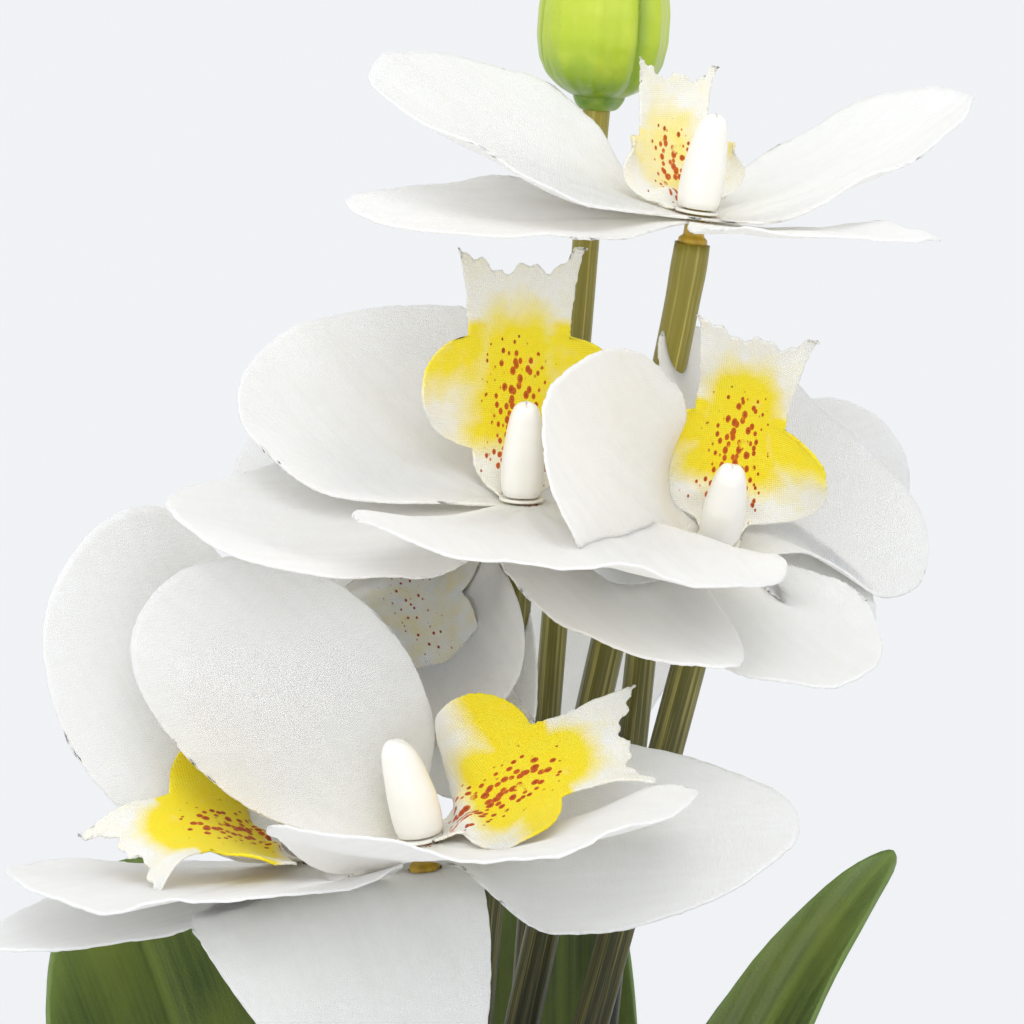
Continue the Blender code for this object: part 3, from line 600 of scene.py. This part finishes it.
fleck = cloth.span(cloth.maths("SUBTRACT", fleck, cloth.span(cloth.value("throat"), 0.0, 1.0, -0.1, 0.40)),
                   -0.05, 0.04, 1.0, 0.0)
cloth.link("Base Color", cloth.blend(fleck, base, (0.50, 0.14, 0.03)))
cloth.link("Roughness", cloth.span(wave, 0.3, 0.7, 0.66, 0.8))
cloth.bump(woven(cloth), 0.00018, 0.8)

for order, (name, spec) in enumerate(FLOWERS.items()):
    matrix = hub_matrix(spec)
    for part, outline, level in (("sepals", SEPAL_OUTLINE, SEPAL_LEVEL), ("petals", PETAL_OUTLINE, PETAL_LEVEL)):
        piece = fabric_cut(f"{name}_{part}_cut", spec[part], outline, level, 100 * order + len(part), matrix)
        finish_piece(piece, cloth, [f"{name}_{part}"], FABRIC * MM)


# ---- the lips -------------------------------------------------------------------------------------
# The lip is one cut of the same cloth on its own ring: two side wings that cup around the column, a
# waist, and a flared end with two tendril points. It is printed yellow with red-brown freckles.
LIP_LENGTH, LIP_WIDE = 35.0, 17.0
LIP_HUB, LIP_NECK = 3.5, 60.0  # the ring's radius, and half the arc of it that the lip grows from
LIP_ROWS, LIP_COLUMNS = 90, 80
RING_ROWS, RING_STEPS = 4, 144
LIP_SIDE = [(0, 3.4), (0.05, 5.0), (0.12, 6.6), (0.46, 8.2), (0.58, 7.8), (0.68, 7.9), (0.78, 8.1), (0.88, 8.8),
            (0.95, 9.8), (1.0, 10.8)]
WING_TALL, WING_OUT = 0.25, 11.4


def lip_flat(t, v, wing_at):
    """(along, across) of the flat lip: v is -1..1 over a half width read smoothly from its side's points.
    The wings sweep on past the waist, and the end runs out into a point at each corner."""
    places, halves = np.array(LIP_SIDE).T
    fine = np.linspace(0, 1, 400)
    half = np.convolve(np.pad(np.interp(fine, places, halves), 12, mode="edge"), np.ones(25) / 25, "valid")
    half += WING_OUT * np.clip(1 - ((fine - wing_at) / WING_TALL) ** 2, 0, 1) ** 0.62
    corner = smooth_step((t - 0.78) / 0.22)
    bite = corner * (0.15 * np.abs(v) ** 3.5 + 0.022 * np.cos(v * 9 + 1) + 0.012 * np.cos(v * 23))
    return LIP_LENGTH * (t + bite), np.interp(t, fine, half) * v


def lip_cut(name, shape, seed, matrix):
    """The lip: its ring, and its body grown from the arc that faces azimuth, formed like a lobe, with the
    wings' edges rolled back, a raised callus by the column, and the points curled."""
    azimuth, rises, cup, twist, size, dye, wing_at = shape
    draw = np.random.default_rng(seed)
    around = np.radians(np.linspace(azimuth - LIP_NECK, azimuth - LIP_NECK + 360, RING_STEPS + 1))
    radius = np.linspace(HOLE, LIP_HUB, RING_ROWS)[:, None]
    ring = np.stack([radius * np.cos(around), radius * np.sin(around),
                     np.full((RING_ROWS, RING_STEPS + 1), LIP_LEVEL)], -1)
    v = np.linspace(-1, 1, LIP_COLUMNS + 1)[None, :]
    t = (np.arange(LIP_ROWS + 1))[:, None] / LIP_ROWS
    along, across = lip_flat(t, v, wing_at)
    along, across = along * size, across * size
    length, half_width = LIP_LENGTH * size, LIP_WIDE * size
    edge = np.abs(v) ** 6
    wings = np.exp(-(((t - wing_at) / 0.16) ** 2))
    off = -1.6 * edge * wings + 0.5 * np.sin(t * 9 + draw.uniform(0, 6)) * v * np.abs(v)
    off = off + 0.45 * edge * np.sin(t * 22 + draw.uniform(0, 6)) + 1.3 * np.exp(-((t - 0.16) / 0.06) ** 2) * (
        np.exp(-((np.abs(v) * t / 0.16 - 0.25) / 0.2) ** 2))
    off = off - 1.8 * smooth_step((t - 0.84) / 0.16) * np.abs(v) ** 2
    off = off * smooth_step(t / 0.1)
    body = turned(*formed(along, across, off, rises, cup, twist, length, half_width, 0), azimuth)
    body += turned(LIP_HUB, 0, LIP_LEVEL, azimuth)
    arc_turn = np.radians(np.linspace(-LIP_NECK, LIP_NECK, LIP_COLUMNS + 1))
    shift = turned((np.cos(arc_turn) - 1) * LIP_HUB, np.sin(arc_turn) * LIP_HUB - across[0], 0 * arc_turn,
                   azimuth)
    body += shift[None] * smooth_step(1 - along / 2.5)[..., None]
    body = ragged(body[1:], 0.06, seed + 9)
    first = np.stack([np.cos(arc_turn + math.radians(azimuth)) * LIP_HUB,
                      np.sin(arc_turn + math.radians(azimuth)) * LIP_HUB,
                      np.full_like(arc_turn, LIP_LEVEL)], -1)
    body = np.concatenate([first[None], body])
    points = np.concatenate([ring.reshape(-1, 3), body.reshape(-1, 3)])
    ring_count = RING_ROWS * (RING_STEPS + 1)
    faces = np.concatenate([grid_faces(RING_ROWS, RING_STEPS + 1),
                            grid_faces(LIP_ROWS + 1, LIP_COLUMNS + 1, ring_count)])
    flat = np.concatenate([np.stack(np.broadcast_arrays(radius - LIP_HUB, np.sin(around) * radius), -1)
                           .reshape(-1, 2), np.stack([along, across], -1).reshape(-1, 2)])
    # dyed: the body from above the neck to past the waist, and the wings' upper borders
    wide = np.abs(across) / (20.0 * size)
    body_dye = (np.exp(-((wide / (0.62 - 0.42 * t)) ** 4)) * smooth_step((t - 0.10) / 0.2)
                * smooth_step((0.98 - t) / 0.30))
    wing_dye = (smooth_step((t - wing_at + 0.12) / 0.26) * smooth_step((wing_at + 0.35 - t) / 0.06)
                * smooth_step(wide * 3))
    yellow = dye * np.maximum(body_dye, 0.9 * wing_dye)
    freckle = np.exp(-((wide / 0.34) ** 2)) * smooth_step(t / 0.05) * smooth_step((0.86 - t) / 0.3)
    freckle = np.maximum(freckle, 0.9 * np.exp(-((t - 0.16) / 0.09) ** 2) * np.exp(-((wide / 0.55) ** 2)))
    freckle = freckle * min(1.0, 0.42 + dye)
    values = {"yellow": np.concatenate([np.zeros(ring_count), np.clip(yellow, 0, 1).ravel()]),
              "freckle": np.concatenate([np.full(ring_count, 0.55), (freckle + 0 * v).ravel()])}
    return put_mesh(name, placed(points, matrix), faces, flat, values, merge=2e-6)


printed = Finish("printed_lip_cloth", (0.9, 0.75, 0.1), 0.66, Subsurface_Weight=0.5, Subsurface_Scale=0.003,
                 Subsurface_Radius=(1.0, 0.8, 0.5), Sheen_Weight=0.10, Specular_IOR_Level=0.25)
yellow = printed.value("yellow")
mottle = printed.noise(printed.flat((0.22, 0.22, 1)), 1.0, 3.0)
dyed = printed.span(printed.maths("ADD", yellow, printed.span(mottle, 0.2, 0.8, -0.22, 0.22)), 0.08, 0.92)
gold = printed.blend(printed.span(mottle, 0.35, 0.65), (0.97, 0.68, 0.008), (0.93, 0.71, 0.03))
paper = printed.blend(printed.span(mottle, 0.3, 0.7), (0.88, 0.86, 0.80), (0.86, 0.81, 0.66))
shaded = printed.blend(dyed, paper, gold)
cell = printed.node("TexVoronoi", "Distance", Vector=printed.flat((0.66, 1.05, 1)), Scale=1.0, Randomness=0.9)
reach = printed.span(printed.value("freckle"), 0.10, 1.0, -0.10, 0.52)
dots = printed.span(printed.maths("SUBTRACT", cell, reach), -0.06, 0.03, 1.0, 0.0)
patchy = printed.span(printed.noise(printed.flat((0.34, 0.34, 1)), 1.0, 2.0), 0.33, 0.42)
spots = printed.maths("MULTIPLY", dots, patchy)
rust = printed.blend(printed.span(cell, 0.0, 0.35), (0.24, 0.018, 0.003), (0.52, 0.085, 0.008))
printed.link("Base Color", printed.blend(spots, shaded, rust))
printed.link("Roughness", printed.span(mottle, 0.3, 0.7, 0.6, 0.76))
printed.bump(woven(printed, 0.50), 0.00022, 1.0)

for order, (name, spec) in enumerate(FLOWERS.items()):
    piece = lip_cut(name + "_lip_cut", spec["lip"], 40 + order, hub_matrix(spec))
    finish_piece(piece, printed, [name + "_lip"], FABRIC * MM)


# ---- the columns and their pegs -------------------------------------------------------------------
# The column is a solid finger of waxy white plastic, flattened front and back, with a blunt notched top.
# It is pushed on an amber peg that holds the three layers of cloth down on the stem.
COLUMN_TALL, COLUMN_RADIUS = 15.5, 3.7
wax = Finish("waxy_column", (0.89, 0.87, 0.82), 0.34, Subsurface_Weight=0.5, Subsurface_Scale=0.004,
             Subsurface_Radius=(1.0, 0.9, 0.75), Coat_Weight=0.2, Coat_Roughness=0.25)
milk = wax.noise(wax.place(), 110.0)
wax.link("Base Color", wax.blend(wax.span(milk, 0.35, 0.7), (0.84, 0.83, 0.80), (0.80, 0.785, 0.74)))
wax.link("Roughness", wax.span(milk, 0.3, 0.7, 0.28, 0.42))
wax.bump(wax.noise(wax.place((1, 1, 0.3)), 420.0, 3.0), 0.00016, 0.5)
amber = Finish("amber_peg", (0.55, 0.36, 0.03), 0.3, Subsurface_Weight=0.3, Subsurface_Scale=0.002)
flow = amber.noise(amber.place((1, 1, 0.3)), 500.0)
amber.link("Base Color", amber.blend(amber.span(flow, 0.35, 0.65), (0.62, 0.42, 0.035), (0.40, 0.25, 0.02)))
amber.link("Roughness", amber.span(flow, 0.3, 0.7, 0.24, 0.4))
amber.bump(flow, 0.0001)


def column_points(tilt):
    """Rings up a leaning finger: the radius swells low down and draws in to a blunt top, each ring an oval
    that is flatter at the back, with a shallow groove up the front face and a notch across the top."""
    up = np.linspace(0, 1, 70)
    profile = np.array([(0, 0.84), (0.06, 0.95), (0.2, 1.0), (0.42, 0.97), (0.68, 0.83), (0.84, 0.70),
                        (0.93, 0.55), (0.975, 0.36), (1.0, 0.0)])
    fine = np.interp(up, *profile.T)
    fine[1:-1] = (fine[:-2] + 2 * fine[1:-1] + fine[2:]) / 4
    a = np.linspace(0, 2 * np.pi, 65)
    oval = 1 - 0.07 * np.cos(2 * a) - 0.05 * np.exp(-((a - 1.5 * np.pi) / 0.32) ** 2) + 0.015 * np.cos(5 * a)
    r = COLUMN_RADIUS * fine[:, None] * oval[None, :]
    z = (COLUMN_TALL * up)[:, None] - 0.54 * up[:, None] ** 10 * np.exp(-((np.cos(a) / 0.4) ** 2))[None, :]
    lean = tilt * up[:, None] ** 1.6
    return np.stack([r * np.cos(a) + 0 * z, r * np.sin(a) + lean, z], -1)


for name, spec in FLOWERS.items():
    column = column_points(-1.8)
    foot_ring = np.repeat(column[:1].mean(1, keepdims=True), column.shape[1], 1)
    column = np.concatenate([foot_ring, column])
    place = hub_matrix(spec, COLUMN_LEVEL) @ Matrix.Rotation(math.radians(spec["lip"][0] - 90), 4, "Z")
    made = put_mesh(name + "_column_wax", placed(column.reshape(-1, 3), place), grid_faces(*column.shape[:2]))
    finish_piece(made, wax, [name + "_column"])
    pin = [(0, -5.6), (1.5, -5.6), (1.75, -5.0), (1.75, -0.4), (2.35, -0.05), (2.4, 0.7), (2.0, 1.1), (1.7, 1.3),
           (1.62, 5.6), (1.2, 6.4), (0, 6.4)]
    pin = turned_grid(even(rounded(pin, 0.25), 80), 40)
    made = put_mesh(name + "_peg_pin", placed(pin.reshape(-1, 3), hub_matrix(spec)), grid_faces(*pin.shape[:2]))
    finish_piece(made, amber, [name + "_peg"])


# ---- the bud --------------------------------------------------------------------------------------
# A closed bud moulded in satin yellow-green plastic. Its folded sepals show as broad ribs with deep
# grooves between them, it ends in a blunt point, and a small green collar sits where the stem enters.
BUD_TALL, BUD_RADIUS, BUD_SOCKET = 33.0, 11.0, 5.0
BUD_SIDES, COLLAR_SIDES = 180, 72
bud_shade = Finish("green_bud", (0.36, 0.48, 0.02), 0.33, Subsurface_Weight=0.25, Subsurface_Scale=0.003,
                   Subsurface_Radius=(0.6, 1.0, 0.15), Coat_Weight=0.25, Coat_Roughness=0.2)
groove = bud_shade.value("groove")
tall = bud_shade.value("tall")
blotch = bud_shade.noise(bud_shade.place(), 190.0)
skin = bud_shade.ramp(tall, [(0.0, (0.10, 0.23, 0.008)), (0.10, (0.24, 0.38, 0.012)), (0.35, (0.44, 0.56, 0.022)),
                             (0.8, (0.50, 0.60, 0.035)), (1.0, (0.40, 0.50, 0.03))])
skin = bud_shade.blend(bud_shade.span(blotch, 0.45, 0.75, 0.0, 0.5), skin, (0.58, 0.66, 0.07))
# The grooves are coloured a darker green: painted shade in the grooves.
painted_groove_shade = bud_shade.maths("MULTIPLY", groove, 0.75)
bud_shade.link("Base Color", bud_shade.blend(painted_groove_shade, skin, (0.16, 0.30, 0.008)))
bud_shade.link("Roughness", bud_shade.span(blotch, 0.3, 0.7, 0.26, 0.42))
bud_shade.bump(bud_shade.noise(bud_shade.place((1, 1, 0.35)), 300.0, 4.0), 0.0003, 0.6)

rise = np.linspace(0, 1, 110)
bud_outline = np.array([(0.0, 0.30), (0.02, 0.44), (0.05, 0.62), (0.11, 0.82), (0.19, 0.94), (0.30, 1.0),
                        (0.45, 1.0), (0.64, 0.92), (0.80, 0.74), (0.90, 0.52), (0.96, 0.32), (0.99, 0.16),
                        (1.0, 0.0)])
fat = np.interp(rise, *bud_outline.T)
for _ in range(4):
    fat[1:-1] = (fat[:-2] + 2 * fat[1:-1] + fat[2:]) / 4
turn = np.linspace(0, 2 * np.pi, BUD_SIDES + 1)
cut_at = np.radians(np.array([-168, -50, 18, 80, 135]))  # where the folded sepals meet
gap = np.abs(np.angle(np.exp(1j * (turn[:, None] - cut_at[None, :]))))
trough = np.exp(-np.abs(gap / 0.12) ** 1.4).max(1)
ribs = 1 + 0.016 * np.cos(turn * 11) + 0.006 * np.cos(turn * 23 + 1)
deep = (0.17 * np.sin(np.pi * np.clip(rise * 1.03, 0, 1)) ** 0.6)[:, None]
radius = BUD_RADIUS * fat[:, None] * (ribs - deep * trough)
bud_points = np.stack([radius * np.cos(turn), radius * np.sin(turn),
                       (rise * BUD_TALL - BUD_SOCKET + 0.3)[:, None] + 0 * radius], -1)
under = np.repeat(bud_points[:1].mean(1, keepdims=True), BUD_SIDES + 1, 1)
bud_points = np.concatenate([under, bud_points])
groove_shade = np.concatenate([np.zeros((1, BUD_SIDES + 1)), np.clip(deep * 7.5, 0, 1) * trough])
shades = {"groove": groove_shade.ravel(), "tall": np.repeat(np.concatenate([[0], rise]), BUD_SIDES + 1)}
bud = put_mesh("closed_bud", placed(bud_points.reshape(-1, 3), hub_matrix(BUD)), grid_faces(*bud_points.shape[:2]),
               values=shades)
collar = rounded([(2.3, -6.6), (3.2, -6.4), (4.3, -4.9), (4.6, -3.2), (3.6, -2.4)], 0.8)
collar = turned_grid(even(np.concatenate([[(0, -6.6)], collar, [(0, -2.4)]]), 40), COLLAR_SIDES)
scallop = 1 + 0.05 * np.cos(5 * np.linspace(0, 2 * np.pi, COLLAR_SIDES + 1))[None, :, None]
collar[..., :2] *= scallop
finish_piece(bud, bud_shade, ["bud"])
collar_piece = put_mesh("bud_collar", placed(collar.reshape(-1, 3), hub_matrix(BUD)),
                        grid_faces(*collar.shape[:2]))
finish_piece(collar_piece, bud_shade, ["bud"])


# ---- the leaves -----------------------------------------------------------------------------------
# Strap leaves of coated cloth, folded along a pressed rib, with fine lines along them. The real leaves
# are paler and matt below, but here both faces take one dark finish; each stands on a tab that is pushed into the
# soil.
LEAF_THICKNESS = 1.0
LEAF_TAB, LEAF_TAB_DEPTH = 11.0, 9.0
LEAF_OUTLINE = {"claw": LEAF_TAB / 2, "side": 0.48, "fan": 1.4, "shoulder": 0.8}
LEAF_ROWS, LEAF_COLUMNS, TAB_ROWS = 110, 56, 8
# root, azimuth, rises along it, fold, twist, length, half width, how pointed the tip is
LEAVES = {
    "leaf_right": ((22, -6), 34, (86, 72, 34), 52, 24, 131, 14.5, 3.4),
    "leaf_left": ((-43, 8), 140, (88, 76, 54), 22, -22, 118, 30, 1.0),
    "leaf_back": ((8, 31), 86, (86, 84, 82), 26, 0, 130, 15, 1.5),
    "leaf_front": ((4, -30), 272, (60, 20, -22), 26, 0, 104, 19, 1.5),
    "leaf_front_left": ((-30, -21), 222, (58, 20, -20), 24, 0, 92, 17, 1.5),
    "leaf_back_right": ((27, 14), 30, (56, 20, -16), 24, 0, 98, 17, 1.5),
    "leaf_back_left": ((-16, 31), 122, (62, 25, -12), 24, 0, 110, 18, 1.5),
}
leaf = Finish("coated_leaf", (0.05, 0.12, 0.012), 0.42, Subsurface_Weight=0.08, Subsurface_Scale=0.002,
              Subsurface_Radius=(0.4, 1.0, 0.1), Coat_Weight=0.12, Coat_Roughness=0.35)
lines = leaf.noise(leaf.flat((0.012, 1.1, 1)), 1.0, 4.0, 0.6)
clouds = leaf.noise(leaf.flat((0.05, 0.08, 1)), 1.0, 3.0)
rib = leaf.value("rib")
green = leaf.ramp(leaf.span(clouds, 0.3, 0.7), [(0.0, (0.036, 0.064, 0.004)), (0.5, (0.072, 0.108, 0.006)),
                                                 (1.0, (0.125, 0.165, 0.010))])
green = leaf.blend(leaf.span(lines, 0.4, 0.7, 0.0, 0.5), green, (0.13, 0.19, 0.022))
green = leaf.blend(leaf.span(rib, 0.2, 1.0, 0.0, 0.65), green, (0.16, 0.22, 0.03))
edge_tone = leaf.value("edge")
leaf.link("Base Color", leaf.blend(leaf.maths("MULTIPLY", edge_tone, 0.6), green, (0.16, 0.26, 0.05)))
leaf.link("Roughness", leaf.span(clouds, 0.3, 0.7, 0.36, 0.5))
leaf.bump(leaf.maths("MULTIPLY_ADD", lines, 0.7, leaf.noise(leaf.flat((2.0, 2.0, 1)), 1.0)), 0.0003, 0.6)


def make_leaf(name, spec, seed):
    """A tab, then a blade formed like a lobe: its halves fold up along a crisp rib, lengthwise ridges are
    pressed in, and its edges wave a little."""
    (x, y), azimuth, rises, fold, turn, length, half_width, point = spec
    draw = np.random.default_rng(seed)
    phi = np.linspace(-np.pi / 2, np.pi / 2, LEAF_COLUMNS + 1)[None, :]
    tab = LEAF_TAB / 2 * np.sin(phi)
    depth = np.linspace(-LEAF_TAB_DEPTH, 0, TAB_ROWS)[:, None]
    stand = turned(0 * tab + 0 * depth, tab + 0 * depth, depth + 0 * tab, azimuth)
    t = (np.arange(LEAF_ROWS) + 1)[:, None] / LEAF_ROWS
    along, across = lobe_flat({**LEAF_OUTLINE, "point": point}, length, half_width, t, phi)
    share, wide = along / length, across / half_width
    crease = -1.6 * np.exp(-np.abs(across) / 2.2) * smooth_step(share * 5) * (1 - 0.6 * share)
    ridges = 0.12 * np.cos(across * 1.9) * smooth_step(share * 6)
    wavy = (np.sin(share * 8 + draw.uniform(0, 6)) * 0.9 * wide * np.abs(wide)
            + np.sin(share * 21 + draw.uniform(0, 6)) * 0.25 * wide**4) * smooth_step(share * 4)
    s = np.linspace(0, 1, 300)
    slope = np.radians(np.interp(s, np.linspace(0, 1, len(rises)), rises))
    off = crease + ridges + wavy
    run, climb = np.cumsum(np.cos(slope)) * length / 300, np.cumsum(np.sin(slope)) * length / 300
    ease = smooth_step(share / 0.35)
    bow = np.radians(fold) / half_width * ease
    bow = np.where(np.abs(bow) < 1e-6, 1e-6, bow)
    side, rise_up = np.sin(across * bow) / bow, (1 - np.cos(across * bow)) / bow + off
    roll = np.radians(turn) * ease
    side, rise_up = side * np.cos(roll) - rise_up * np.sin(roll), side * np.sin(roll) + rise_up * np.cos(roll)
    angle = np.interp(share, s, slope)
    out = np.interp(share, s, run) - rise_up * np.sin(angle)
    up = np.interp(share, s, climb) + rise_up * np.cos(angle)
    blade = turned(out, side, up, azimuth)
    grid = np.concatenate([stand, blade]) + (x, y, SOIL_MIDDLE)
    flat = np.concatenate([np.stack(np.broadcast_arrays(depth + 0 * tab, tab + 0 * depth), -1),
                           np.stack([along, across], -1)])
    rib_line = np.exp(-((flat[..., 1] / 1.0) ** 2))
    rim = np.concatenate([np.zeros(stand.shape[:2]), np.maximum(np.abs(np.sin(phi)) + 0 * t, t + 0 * phi) ** 22])
    made = put_mesh(name + "_blade", grid.reshape(-1, 3) * MM, grid_faces(*grid.shape[:2]), flat.reshape(-1, 2),
                    {"rib": rib_line.ravel(), "edge": rim.ravel()})
    finish_piece(made, leaf, [name], LEAF_THICKNESS * MM)


for order, (name, spec) in enumerate(LEAVES.items()):
    make_leaf(name, spec, 300 + order)


# ---- the studio -----------------------------------------------------------------------------------
# A pale floor that reaches past the view, a bright even surround, and three broad soft lights. The camera
# stands a little above the flowers and frames the upper part of the plant.
VIEW_RISE, VIEW_AWAY, VIEW_WIDE = 10.0, 0.700, 0.165
target = Vector((0, 0, 0.2804))
FLOOR_HALF = 9.0
floor = put_mesh("floor", [(x * FLOOR_HALF, y * FLOOR_HALF, 0) for x, y in ((-1, -1), (1, -1), (1, 1), (-1, 1))],
                 [(0, 1, 2, 3)])
paint = Finish("pale_floor", (0.729, 0.739, 0.755), 0.95, Specular_IOR_Level=0.0)
floor.data.materials.append(paint.material)

SURROUND, BACKDROP = 0.84, 0.868
world = bpy.data.worlds.new("surround")
bpy.context.scene.world = world
world.use_nodes = True
sky = world.node_tree.nodes["Background"]
sky.inputs["Color"].default_value = (0.98, 0.99, 1.0, 1)
seen = world.node_tree.nodes.new("ShaderNodeLightPath")
glow = world.node_tree.nodes.new("ShaderNodeMapRange")
glow.inputs["To Min"].default_value = SURROUND
glow.inputs["To Max"].default_value = BACKDROP
world.node_tree.links.new(seen.outputs["Is Camera Ray"], glow.inputs["Value"])
world.node_tree.links.new(glow.outputs[0], sky.inputs["Strength"])


def soft_sun(name, place, spread, power, colour=(1, 1, 1)):
    lamp = bpy.data.lights.new(name, "SUN")
    lamp.angle = math.radians(spread)
    lamp.energy = power
    lamp.color = colour
    obj = bpy.data.objects.new(name, lamp)
    obj.rotation_euler = Vector(place).to_track_quat("Z", "Y").to_euler()
    bpy.context.scene.collection.objects.link(obj)


soft_sun("key", (0.1, -0.8, 1.1), 40, 1.0, (1.0, 0.99, 0.975))
soft_sun("fill", (-1.0, -0.6, 0.7), 70, 0.5)
soft_sun("front", (0.1, -1.0, 0.12), 60, 0.7)

camera = bpy.data.cameras.new("camera")
camera.sensor_width = 36.0
camera.lens = camera.sensor_width * VIEW_AWAY / VIEW_WIDE
camera.clip_start = 0.01
viewer = bpy.data.objects.new("camera", camera)
away = math.radians(VIEW_RISE)
viewer.location = target + Vector((0, -math.cos(away), math.sin(away))) * VIEW_AWAY
viewer.rotation_euler = (target - viewer.location).to_track_quat("-Z", "Y").to_euler()
bpy.context.scene.collection.objects.link(viewer)
bpy.context.scene.camera = viewer
bpy.context.scene.view_settings.view_transform = "Standard"
